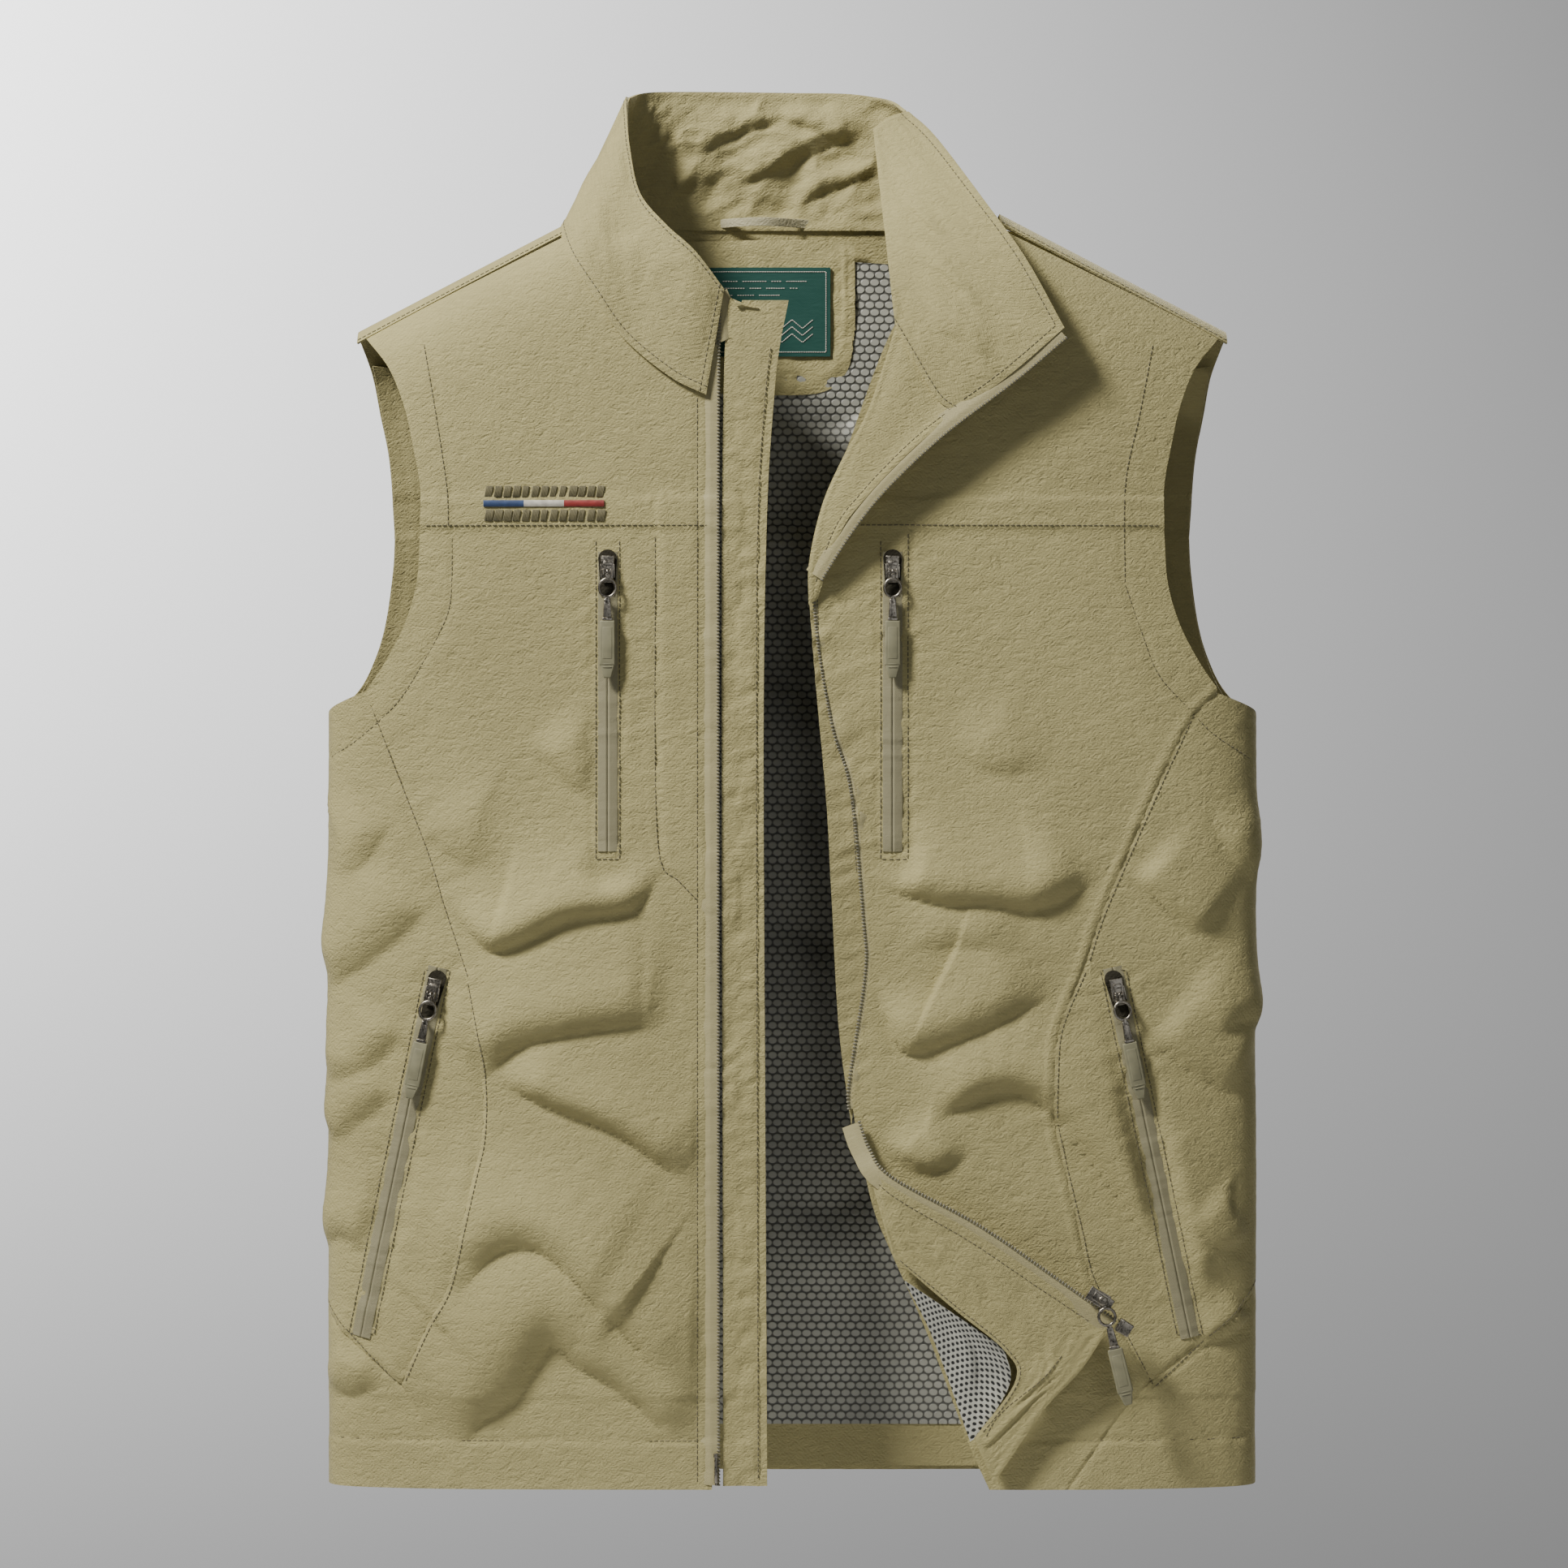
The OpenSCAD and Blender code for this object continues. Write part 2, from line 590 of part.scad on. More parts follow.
module tab() {
    tab_w = 9;
    tip_w = 5;
    tab_t = 2.4;
    shoulder = 2;
    color(rubber_olive) translate([0, pivot_y + tab_t / 2, -27.2 - tab_l]) rotate([90, 0, 0])
        linear_extrude(tab_t) polygon([[-tip_w / 2, 0], [tip_w / 2, 0], [tab_w / 2, 8],
            [tab_w / 2, tab_l - shoulder], [tab_w / 2 - shoulder, tab_l],
            [shoulder - tab_w / 2, tab_l], [-tab_w / 2, tab_l - shoulder], [-tab_w / 2, 8]]);
}

chest_y = -half_depth - 1.6;
module at_chest(x) {
    hung() translate([x, chest_y, chest_top - slider_l / 2]) children();
}
module chest_slider_right() { at_chest(chest_x_right) slider(); }
module chest_pull_right() { at_chest(chest_x_right) pull(); }
module chest_tab_right() { at_chest(chest_x_right) tab(); }
module chest_slider_left() { at_chest(chest_x_left) slider(); }
module chest_pull_left() { at_chest(chest_x_left) pull(); }
module chest_tab_left() { at_chest(chest_x_left) tab(); }

// The hand pockets' zips lean outwards towards the hem and turn with the body's side
module at_hand(high, side, yaw) {
    hung() translate(high) rotate([0, 0, side * yaw]) rotate([0, -side * hand_lean, 0])
        translate([0, 0, -slider_l / 2]) children();
}
right_yaw = 8;
left_yaw = 5;
module hand_slider_right() { at_hand(hand_right, -1, right_yaw) slider(); }
module hand_pull_right() { at_hand(hand_right, -1, right_yaw) pull(); }
module hand_tab_right() { at_hand(hand_right, -1, right_yaw) tab(); }
module hand_slider_left() { at_hand(hand_left, 1, left_yaw) slider(); }
module hand_pull_left() { at_hand(hand_left, 1, left_yaw) pull(); }
module hand_tab_left() { at_hand(hand_left, 1, left_yaw) tab(); }

// The main slider has a round post, and its pull swings round the post in the cloth's plane
main_at = [172, -55.1, 107.8];
main_lean = -58.8;
main_hang = -13.8;
post_r = 1;
cap_r = 1.9;
post_top = 4.4;

module main_slider() {
    color(nickel) hung() translate(main_at) rotate([0, main_lean, 0]) union() {
        slider_plate();
        rotate([90, 0, 0]) cylinder(h = post_top, r = post_r);
        translate([0, -post_top, 0]) rotate([90, 0, 0]) cylinder(h = 0.8, r = cap_r);
    }
}

module main_pull() {
    eye_r = 2.6;
    eye_t = 1.6;
    ring_z = -9;
    ring_r = 5.6;
    hole_r = 3.6;
    color(nickel) hung() translate(main_at) rotate([0, main_hang, 0])
        translate([0, pivot_y + eye_t / 2, 0]) difference() {
            union() {
                rotate([90, 0, 0]) cylinder(h = eye_t, r = eye_r);
                translate([-1.3, -eye_t, ring_z + hole_r + 0.4])
                    cube([2.6, eye_t, -ring_z - hole_r - 2]);
                translate([0, 0, ring_z]) rotate([90, 0, 0]) cylinder(h = eye_t, r = ring_r);
                translate([-2, -eye_t, -27]) cube([4, eye_t, 14]);
            }
            translate([0, 1, 0]) rotate([90, 0, 0]) cylinder(h = 4, r = post_r + 0.08);
            translate([0, 1, ring_z]) rotate([90, 0, 0]) cylinder(h = 4, r = hole_r);
        }
}
module main_tab() {
    hung() translate(main_at) rotate([0, main_hang, 0]) tab();
}

back_panel();
back_yoke();
back_lining();
back_hem_band();
back_neck_facing();
neck_label();
hanger_loop();
collar_back();
collar_left_stand();
collar_left_leaf();
lapel_facing_left();
shoulder_yoke_right();
shoulder_yoke_left();
armhole_facing_right();
armhole_facing_left();
front_yoke_left();
chest_panel_left();
side_panel_left();
hip_panel_left();
front_facing_left();
main_zip_tape_left();
corner_facing_left();
corner_mesh_left();
front_lining_left();
retaining_box();
front_yoke_right_outer();
chest_panel_right_outer();
side_panel_right();
hip_panel_right();
chest_zip_tape_left();
hand_zip_tape_left();
hand_zip_tape_right();
chest_pocket_bag_left();
hand_pocket_bag_left();
hand_pocket_bag_right();
front_yoke_right();
chest_panel_right();
collar_right();
main_zip_tape_right();
front_lining_right();
chest_zip_tape_right();
chest_pocket_bag_right();
embroidery();
insert_pin();
wind_flap();
chest_slider_right();
chest_pull_right();
chest_tab_right();
chest_slider_left();
chest_pull_left();
chest_tab_left();
hand_slider_right();
hand_pull_right();
hand_tab_right();
hand_slider_left();
hand_pull_left();
hand_tab_left();
main_slider();
main_pull();
main_tab();
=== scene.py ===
"""Men's zip-front fishing vest, hung open by its loop: cloth, seams, zips and trims.

Every outline is an [x, z] pair in millimetres from the middle of the hem, with x towards the
wearer's left. Form turns such a pair into a place on the hung body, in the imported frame's metres.
"""

import json
import logging
import math
from dataclasses import dataclass, field
from enum import Enum

import bpy
import numpy as np
from mathutils import Matrix, Vector

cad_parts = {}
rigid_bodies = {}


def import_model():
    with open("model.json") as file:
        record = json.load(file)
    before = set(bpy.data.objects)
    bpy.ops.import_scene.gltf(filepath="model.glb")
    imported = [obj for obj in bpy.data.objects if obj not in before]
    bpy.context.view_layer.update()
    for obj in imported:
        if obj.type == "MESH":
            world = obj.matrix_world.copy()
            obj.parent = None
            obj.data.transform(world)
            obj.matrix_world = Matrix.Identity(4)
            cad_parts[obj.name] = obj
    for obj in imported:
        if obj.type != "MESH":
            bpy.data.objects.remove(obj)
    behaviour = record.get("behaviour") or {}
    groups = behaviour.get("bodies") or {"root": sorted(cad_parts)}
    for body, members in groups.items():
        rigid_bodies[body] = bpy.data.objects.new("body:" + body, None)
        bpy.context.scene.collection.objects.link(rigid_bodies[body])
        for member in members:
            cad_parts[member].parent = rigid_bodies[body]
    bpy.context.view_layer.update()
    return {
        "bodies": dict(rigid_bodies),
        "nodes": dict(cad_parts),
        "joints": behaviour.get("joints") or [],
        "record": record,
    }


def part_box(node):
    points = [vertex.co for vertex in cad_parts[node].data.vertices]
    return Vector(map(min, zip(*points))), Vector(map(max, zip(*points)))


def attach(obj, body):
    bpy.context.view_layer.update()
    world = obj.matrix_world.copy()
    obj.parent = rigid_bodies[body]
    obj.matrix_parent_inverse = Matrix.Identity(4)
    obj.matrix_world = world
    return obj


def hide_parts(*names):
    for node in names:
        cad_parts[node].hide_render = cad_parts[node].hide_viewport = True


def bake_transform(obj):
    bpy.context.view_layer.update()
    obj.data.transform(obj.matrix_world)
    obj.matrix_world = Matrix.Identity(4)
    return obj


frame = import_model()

MM = 0.001
LOG = logging.getLogger("vest")
Pair = tuple[float, float]
Outline = list[Pair]


class Face(Enum):
    """Which sheet of the body a panel belongs to."""

    FRONT = -1
    BACK = 1


# ---- Curves and noise ------------------------------------------------------------------


def spline(points: list, step: float = 2.0) -> np.ndarray:
    """Round a route through its points.

    Args:
        points: Two or more points of the same dimension.
        step: Spacing of the result, in the points' own unit.

    Returns:
        The rounded route as rows of points.
    """
    p = np.asarray(points, float)
    if len(p) < 3:
        n = max(int(np.linalg.norm(p[1] - p[0]) / step), 1)
        return p[0] + (p[1] - p[0]) * np.linspace(0, 1, n + 1)[:, None]
    ends = np.vstack([2 * p[0] - p[1], p, 2 * p[-1] - p[-2]])
    rows = [p[:1]]
    for a, b, c, d in zip(ends[:-3], ends[1:-2], ends[2:-1], ends[3:]):
        n = max(int(np.linalg.norm(c - b) / step), 1)
        t = (np.arange(1, n + 1) / n)[:, None]
        rows.append(0.5 * (2 * b + (c - a) * t + (2 * a - 5 * b + 4 * c - d) * t**2
                           + (3 * b - a - 3 * c + d) * t**3))
    return np.vstack(rows)


def joined(*routes: np.ndarray) -> np.ndarray:
    """Join routes end to end, each kept round in itself."""
    return np.vstack([routes[0]] + [r[1:] for r in routes[1:]])


def lengths(route: np.ndarray) -> np.ndarray:
    """Give the distance walked at each point of a route."""
    return np.concatenate([[0], np.cumsum(np.linalg.norm(np.diff(route, axis=0), axis=1))])


def along(route: np.ndarray, t: np.ndarray) -> np.ndarray:
    """Place points along a route.

    Args:
        route: Rows of points.
        t: Fractions of the route's length, from 0 to 1.

    Returns:
        One row for each fraction.
    """
    walked = lengths(route)
    at = np.clip(t, 0, 1) * walked[-1]
    return np.stack([np.interp(at, walked, route[:, k]) for k in range(route.shape[1])], -1)


def smooth(t: np.ndarray) -> np.ndarray:
    """Ease a fraction in and out."""
    t = np.clip(t, 0, 1)
    return t * t * (3 - 2 * t)


def near(points: np.ndarray, route: np.ndarray) -> tuple[np.ndarray, np.ndarray, np.ndarray]:
    """Measure points against a flat route.

    Args:
        points: [x, z] rows.
        route: [x, z] rows.

    Returns:
        Distance, side (+1 to the left of the route's direction) and fraction along it.
    """
    walked = lengths(route)
    best = np.full(len(points), 1e9)
    side = np.ones(len(points))
    where = np.zeros(len(points))
    for a, b, w in zip(route[:-1], route[1:], walked[:-1]):
        d = b - a
        long2 = max(float(d @ d), 1e-9)
        rel = points - a
        t = np.clip(rel @ d / long2, 0, 1)
        gap = rel - t[:, None] * d
        dist = np.hypot(gap[:, 0], gap[:, 1])
        closer = dist < best - 1e-9
        best[closer] = dist[closer]
        turn = d[0] * rel[:, 1] - d[1] * rel[:, 0]
        side[closer] = np.where(turn[closer] >= 0, 1, -1)
        where[closer] = (w + t * math.sqrt(long2))[closer] / walked[-1]
    return best, side, where


@dataclass(frozen=True)
class Noise:
    """Seeded smooth noise over a plane, from -1 to 1."""

    seed: int

    def at(self, x: np.ndarray, y: np.ndarray, size: float) -> np.ndarray:
        """Read one layer of noise with features of a given size."""
        grid = np.random.default_rng(self.seed).uniform(-1, 1, (61, 61))
        u, v = x / size + 17.3, y / size + 9.1
        i, j = np.floor(u).astype(int), np.floor(v).astype(int)
        a, b = smooth(u - i), smooth(v - j)
        g = lambda p, q: grid[p % 61, q % 61]
        low = g(i, j) * (1 - a) + g(i + 1, j) * a
        high = g(i, j + 1) * (1 - a) + g(i + 1, j + 1) * a
        return low * (1 - b) + high * b

    def cloud(self, x: np.ndarray, y: np.ndarray, size: float, octaves: int = 3) -> np.ndarray:
        """Add octaves of noise, each half the size and half the strength of the last."""
        total = np.zeros_like(x)
        for k in range(octaves):
            total += self.at(x + 31.7 * k, y - 12.9 * k, size / 2**k) / 2**k
        return total

    def creases(self, x: np.ndarray, y: np.ndarray, size: float) -> np.ndarray:
        """Give sharp-crested crumples, 0 in the flats and 1 on the crests."""
        return 1 - np.abs(self.cloud(x, y, size, 3)) * 1.6


# ---- The hung body ---------------------------------------------------------------------


@dataclass(frozen=True)
class Form:
    """The hung body's smooth surface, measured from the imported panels.

    A place on it is a [girth, z] pair: girth runs from the middle round the side seam, and on the
    flat of the front and the back it is the same as x.
    """

    mid_x: float
    mid_y: float
    hem_z: float
    half_w: float
    half_depth: float = 38.0
    neck_x: float = 125.0
    shoulder_z: float = 712.0
    shoulder_fall: float = 0.52
    shoulder_round: float = 70.0

    @classmethod
    def from_frame(cls) -> "Form":
        """Read the body's size and place from the back panel."""
        low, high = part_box("back_panel")
        hem_gap = 0.4
        return cls((low[0] + high[0]) / 2, high[1] - cls.half_depth * MM, low[2] - hem_gap * MM,
                   round((high[0] - low[0]) / 2 / MM))

    def row(self, points: np.ndarray) -> np.ndarray:
        """Turn [x, y, z] millimetres from the hem's middle into the frame's metres."""
        return np.asarray(points, float) * MM + np.array([self.mid_x, self.mid_y, self.hem_z])

    def quarter(self) -> tuple[np.ndarray, np.ndarray, np.ndarray]:
        """Give girth, x and share of the depth at steps from the middle to the side seam."""
        t = np.linspace(0, 1, 1500)
        angle = (1 - np.cos(t * math.pi)) / 2 * math.pi / 2
        x = self.half_w * np.sin(angle) ** 0.5
        share = np.clip(np.cos(angle), 0, 1) ** 0.5
        return lengths(np.stack([x, share * self.half_depth], -1)), x, share

    def girth(self, x: np.ndarray) -> np.ndarray:
        """Give the girth at x."""
        walked, wide, _ = self.quarter()
        return np.sign(x) * np.interp(np.abs(x), wide, walked)

    def to_girth(self, route: list) -> np.ndarray:
        """Turn [x, z] pairs into rounded [girth, z] rows."""
        p = np.asarray(route, float)
        return np.stack([self.girth(p[:, 0]), p[:, 1]], -1)

    def shoulder_top(self, x: np.ndarray) -> np.ndarray:
        """Give the height of the shoulder's top line."""
        return self.shoulder_z - self.shoulder_fall * (np.abs(x) - self.neck_x)

    def surface(self, p: np.ndarray, face: Face) -> np.ndarray:
        """Place [girth, z] rows on the body, in millimetres from the hem's middle."""
        walked, wide, share = self.quarter()
        away = np.abs(p[:, 0])
        x = np.sign(p[:, 0]) * np.interp(away, walked, wide)
        fall = np.clip((self.shoulder_top(x) - p[:, 1]) / self.shoulder_round, 0, 1)
        y = self.half_depth * np.interp(away, walked, share) * (1 - (1 - fall) ** 2.5) ** 0.4
        return np.stack([x, face.value * y, p[:, 1]], -1)


FORM = Form.from_frame()
SIDE = float(FORM.girth(np.array([FORM.half_w]))[0])


# ---- Relief: folds, puckers and crumples -----------------------------------------------


@dataclass(frozen=True)
class Fold:
    """A draped fold: a crease line with a crest standing to the left of its direction.

    points are (x, z, height, reach) in millimetres: reach is how far the crest is from the line.
    """

    points: list
    ends: float = 0.22

    def height(self, p: np.ndarray) -> np.ndarray:
        """Give the fold's height at [x, z] rows."""
        raw = np.asarray(self.points, float)
        out = np.zeros(len(p))
        far = 6 * raw[:, 3].max()
        low, high = raw[:, :2].min(0) - far, raw[:, :2].max(0) + far
        inside = np.all((p > low) & (p < high), axis=1)
        if not inside.any():
            return out
        route = spline(self.points, 6.0)
        dist, side, t = near(p[inside], route[:, :2])
        values = along(route, t)
        tall, reach = values[:, 2], np.maximum(values[:, 3], 2)
        s = dist / reach
        bulge = np.where(s < 1, np.sin(np.minimum(s, 1) * math.pi / 2) ** 0.85,
                         1 / (1 + (np.maximum(s - 1, 0) / 1.5) ** 2))
        crest = np.where(side > 0, bulge * smooth((5.8 - s) / 3.5), -0.1 * np.exp(-(s**2) * 3))
        fade = smooth(t / self.ends) * smooth((1 - t) / self.ends)
        out[inside] = tall * crest * fade
        return out


@dataclass(frozen=True)
class Seam:
    """A sewn line: it sinks into the cloth, gathers it in puckers and may lap one panel over.

    lap is the height of the turned edge on the left of the route, and lap_w is its width.
    """

    route: np.ndarray
    sink: float = 0.7
    pucker: float = 0.5
    pitch: float = 9.0
    reach: float = 9.0
    lap: float = 0.0
    lap_w: float = 6.0

    def height(self, p: np.ndarray, noise: Noise) -> np.ndarray:
        """Give the seam's relief at [x, z] rows."""
        out = np.zeros(len(p))
        far = 3 * self.reach
        low, high = self.route.min(0) - far, self.route.max(0) + far
        inside = np.all((p > low) & (p < high), axis=1)
        if not inside.any():
            return out
        q = p[inside]
        dist, side, t = near(q, self.route)
        walked = t * lengths(self.route)[-1]
        strength = 0.35 + 0.65 * np.clip(noise.at(walked, side * 90 + 7, 47.0) + 0.45, 0, 1)
        wave = 1.5 * noise.at(walked + side * dist * 0.25, side * 50 + dist * 0.2, self.pitch * 0.55)
        gather = self.pucker * strength * wave * np.exp(-dist / self.reach) * smooth(dist / 1.5)
        lapped = self.lap * (side > 0) * smooth((self.lap_w - dist) / 1.5)
        out[inside] = gather + lapped - self.sink * np.exp(-((dist / 1.3) ** 2))
        return out


@dataclass
class Relief:
    """Everything that lifts cloth from its smooth form, in millimetres."""

    noise: Noise
    folds: list[Fold] = field(default_factory=list)
    seams: list[Seam] = field(default_factory=list)
    calm: list[tuple[np.ndarray, float]] = field(default_factory=list)
    covers: list[np.ndarray] = field(default_factory=list)
    broad: float = 1.2
    fine: float = 0.16
    crumple: float = 0.0

    def height(self, p: np.ndarray) -> np.ndarray:
        """Give the whole relief at [girth, z] rows."""
        x, z = p[:, 0], p[:, 1]
        total = self.broad * self.noise.cloud(x, z, 95.0, 2)
        for fold in self.folds:
            total += fold.height(p)
        for cover in self.covers:
            dist, _, _ = near(p, np.vstack([cover, cover[:1]]))
            total *= np.where(within(p, cover), 0.1, smooth(dist / 14) * 0.9 + 0.1)
        for route, reach in self.calm:
            dist, _, _ = near(p, route)
            total *= smooth((dist - 3) / reach)
        total += self.fine * self.noise.cloud(x * 1.0, z * 1.7, 7.0, 3)
        if self.crumple:
            total += self.crumple * self.noise.creases(x, z * 1.1, 26.0)
        for seam in self.seams:
            total += seam.height(p, self.noise)
        top = FORM.shoulder_top(x) - z
        return total * smooth((SIDE - np.abs(x)) / 16) * smooth((top - 6) / 22)


@dataclass(frozen=True)
class Skin:
    """One sheet of the hung body with its relief."""

    face: Face
    relief: Relief

    def place(self, p: np.ndarray, proud: float = 0.0) -> tuple[np.ndarray, np.ndarray]:
        """Place [girth, z] rows on the cloth.

        Args:
            p: The rows.
            proud: Height above the cloth's outer face, in millimetres.

        Returns:
            Points in millimetres from the hem's middle, and the smooth form's outward normals.
        """
        base = FORM.surface(p, self.face)
        step = np.array([0.5, 0.0])
        across = FORM.surface(p + step, self.face) - FORM.surface(p - step, self.face)
        up = FORM.surface(p + step[::-1], self.face) - FORM.surface(p - step[::-1], self.face)
        normal = np.cross(across, up) * -self.face.value
        normal /= np.maximum(np.linalg.norm(normal, axis=1, keepdims=True), 1e-9)
        return base + normal * (self.relief.height(p)[:, None] + proud), normal


def within(p: np.ndarray, corners: np.ndarray) -> np.ndarray:
    """Say which [x, z] rows lie inside an outline."""
    inside = np.zeros(len(p), bool)
    for a, b in zip(corners, np.roll(corners, -1, axis=0)):
        crosses = (a[1] > p[:, 1]) != (b[1] > p[:, 1])
        rise = b[1] - a[1] if abs(b[1] - a[1]) > 1e-9 else 1e-9
        inside ^= crosses & (p[:, 0] < (b[0] - a[0]) * (p[:, 1] - a[1]) / rise + a[0])
    return inside


# ---- Cloth meshes ----------------------------------------------------------------------


def grid_normals(grid: np.ndarray) -> np.ndarray:
    """Give the unit normal at each point of a grid of points."""
    du = np.gradient(grid, axis=1)
    dv = np.gradient(grid, axis=0)
    n = np.cross(du, dv)
    return n / np.maximum(np.linalg.norm(n, axis=-1, keepdims=True), 1e-12)


def patch(left: np.ndarray, right: np.ndarray, bottom: np.ndarray, top: np.ndarray,
          step: float) -> np.ndarray:
    """Fill four outlines with a grid of points.

    Args:
        left: Outline from the bottom left corner to the top left.
        right: Outline from the bottom right corner to the top right.
        bottom: Outline from the bottom left corner to the bottom right.
        top: Outline from the top left corner to the top right.
        step: Spacing of the grid, in the outlines' own unit.

    Returns:
        Points as rows of rows, bottom row first.
    """
    nu = max(int(max(lengths(bottom)[-1], lengths(top)[-1]) / step), 2)
    nv = max(int(max(lengths(left)[-1], lengths(right)[-1]) / step), 2)
    u, v = np.linspace(0, 1, nu + 1), np.linspace(0, 1, nv + 1)
    west, east = along(left, v)[:, None], along(right, v)[:, None]
    south, north = along(bottom, u)[None], along(top, u)[None]
    uu, vv = u[None, :, None], v[:, None, None]
    corners = ((1 - uu) * (1 - vv) * south[:, :1] + uu * (1 - vv) * south[:, -1:]
               + (1 - uu) * vv * north[:, :1] + uu * vv * north[:, -1:])
    return (1 - uu) * west + uu * east + (1 - vv) * south + vv * north - corners


def cloth_mesh(name: str, grid: np.ndarray, flat: np.ndarray, thick: float,
               inwards: float = 1.0) -> bpy.types.Object:
    """Make a closed cloth of a grid of points, with flat rim faces and a flat UV map.

    Args:
        name: The piece's name.
        grid: Outer surface in the frame's metres, rows of rows.
        flat: The same points' [u, v] in metres on the flat cloth.
        thick: Thickness in metres.
        inwards: +1 where the cloth's inside is against the grid's normal, -1 where it is along it.

    Returns:
        The new mesh object.
    """
    nv, nu = grid.shape[0] - 1, grid.shape[1] - 1
    normal = grid_normals(grid) * inwards
    count = (nu + 1) * (nv + 1)
    inner = grid - normal * thick
    points = np.vstack([grid.reshape(-1, 3), inner.reshape(-1, 3)])
    a = (np.arange(nv)[:, None] * (nu + 1) + np.arange(nu)[None]).ravel()
    b, c, d = a + nu + 1, a + nu + 2, a + 1
    skin = np.stack([a, d, c, b], 1)
    back = np.stack([a, b, c, d], 1) + count
    low = np.arange(nu)
    high = nv * (nu + 1) + np.arange(nu)
    west = np.arange(nv) * (nu + 1)
    east = west + nu
    step = nu + 1
    walls = [np.stack([low + 1, low, low + count, low + 1 + count], 1),
             np.stack([high, high + 1, high + 1 + count, high + count], 1),
             np.stack([west, west + step, west + step + count, west + count], 1),
             np.stack([east + step, east, east + count, east + step + count], 1)]
    faces = np.vstack([skin, back, *walls])
    if inwards < 0:
        faces = faces[:, ::-1]
    mesh = bpy.data.meshes.new(name)
    mesh.from_pydata(points.tolist(), [], faces.tolist())
    layer = mesh.uv_layers.new(name="Cut")
    uv = np.vstack([flat.reshape(-1, 2), flat.reshape(-1, 2)])
    corner = np.zeros(len(mesh.loops), int)
    mesh.loops.foreach_get("vertex_index", corner)
    layer.data.foreach_set("uv", uv[corner].astype(np.float32).ravel())
    mesh.polygons.foreach_set("use_smooth", np.ones(len(mesh.polygons), bool))
    mesh.update()
    obj = bpy.data.objects.new(name, mesh)
    bpy.context.collection.objects.link(obj)
    sharp_rim(mesh, count, len(skin) * 2)
    return obj


def sharp_rim(mesh: bpy.types.Mesh, count: int, first_wall: int) -> None:
    """Mark the two long edges of each rim face sharp, so the skins keep their shading."""
    flags = np.zeros(len(mesh.edges), bool)
    pairs = np.zeros(len(mesh.edges) * 2, int)
    mesh.edges.foreach_get("vertices", pairs)
    pairs = pairs.reshape(-1, 2)
    rim = set()
    for poly in mesh.polygons[first_wall:]:
        v = list(poly.vertices)
        for p, q in zip(v, v[1:] + v[:1]):
            if (p < count) == (q < count):
                rim.add((min(p, q), max(p, q)))
    for k, (p, q) in enumerate(pairs):
        flags[k] = (min(p, q), max(p, q)) in rim
    attribute = mesh.attributes.new("sharp_edge", "BOOLEAN", "EDGE")
    attribute.data.foreach_set("value", flags)


def wear(obj: bpy.types.Object, finish: "Finish") -> None:
    """Give a piece its finish."""
    obj.data.materials.clear()
    obj.data.materials.append(finish.material())


BEND = (FORM.row([-155, -35, 716]), FORM.row([-141.6, -56.5, 716]))


def settle(obj: bpy.types.Object, body: str, bends: bool = False) -> None:
    """Hang a piece on its body, or, where it bends, only bake its place into its mesh."""
    if bends:
        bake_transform(obj)
    else:
        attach(obj, body)


# ---- Finishes --------------------------------------------------------------------------


class Wires:
    """Short ways to add and join shader nodes in one tree."""

    def __init__(self, tree: bpy.types.NodeTree) -> None:
        """Keep the tree that nodes are added to."""
        self.tree = tree

    def add(self, kind: str, **values: object) -> bpy.types.Node:
        """Add a node and set its properties or its input values by name."""
        node = self.tree.nodes.new(kind)
        for key, value in values.items():
            if hasattr(node, key):
                setattr(node, key, value)
            else:
                node.inputs[key.replace("_", " ")].default_value = value
        return node

    def join(self, a: bpy.types.NodeSocket, b: bpy.types.NodeSocket) -> None:
        """Join an output to an input."""
        self.tree.links.new(a, b)

    def maths(self, kind: str, a: object, b: object = None, c: object = None) -> bpy.types.NodeSocket:
        """Add a Math node whose operands are sockets or numbers."""
        node = self.tree.nodes.new("ShaderNodeMath")
        node.operation = kind
        for socket, value in zip(node.inputs, (a, b, c)):
            if value is None:
                continue
            if isinstance(value, (int, float)):
                socket.default_value = value
            else:
                self.join(value, socket)
        return node.outputs[0]

    def ramp(self, value: bpy.types.NodeSocket, low: float, high: float, to_low: float,
             to_high: float) -> bpy.types.NodeSocket:
        """Map a value from one range to another, held at its ends."""
        node = self.add("ShaderNodeMapRange")
        node.clamp = True
        for name, number in zip(("From Min", "From Max", "To Min", "To Max"),
                                (low, high, to_low, to_high)):
            node.inputs[name].default_value = number
        self.join(value, node.inputs["Value"])
        return node.outputs["Result"]

    def mix(self, factor: object, a: object, b: object) -> bpy.types.NodeSocket:
        """Mix two colours."""
        node = self.add("ShaderNodeMix", data_type="RGBA")
        for socket, value in ((node.inputs[0], factor), (node.inputs[6], a), (node.inputs[7], b)):
            if isinstance(value, bpy.types.NodeSocket):
                self.join(value, socket)
            else:
                socket.default_value = value
        return node.outputs[2]

    def noise(self, at: bpy.types.NodeSocket, scale: float, detail: float) -> bpy.types.NodeSocket:
        """Add a noise texture that is read at a place."""
        node = self.add("ShaderNodeTexNoise", Scale=scale, Detail=detail)
        self.join(at, node.inputs["Vector"])
        return node.outputs[0]


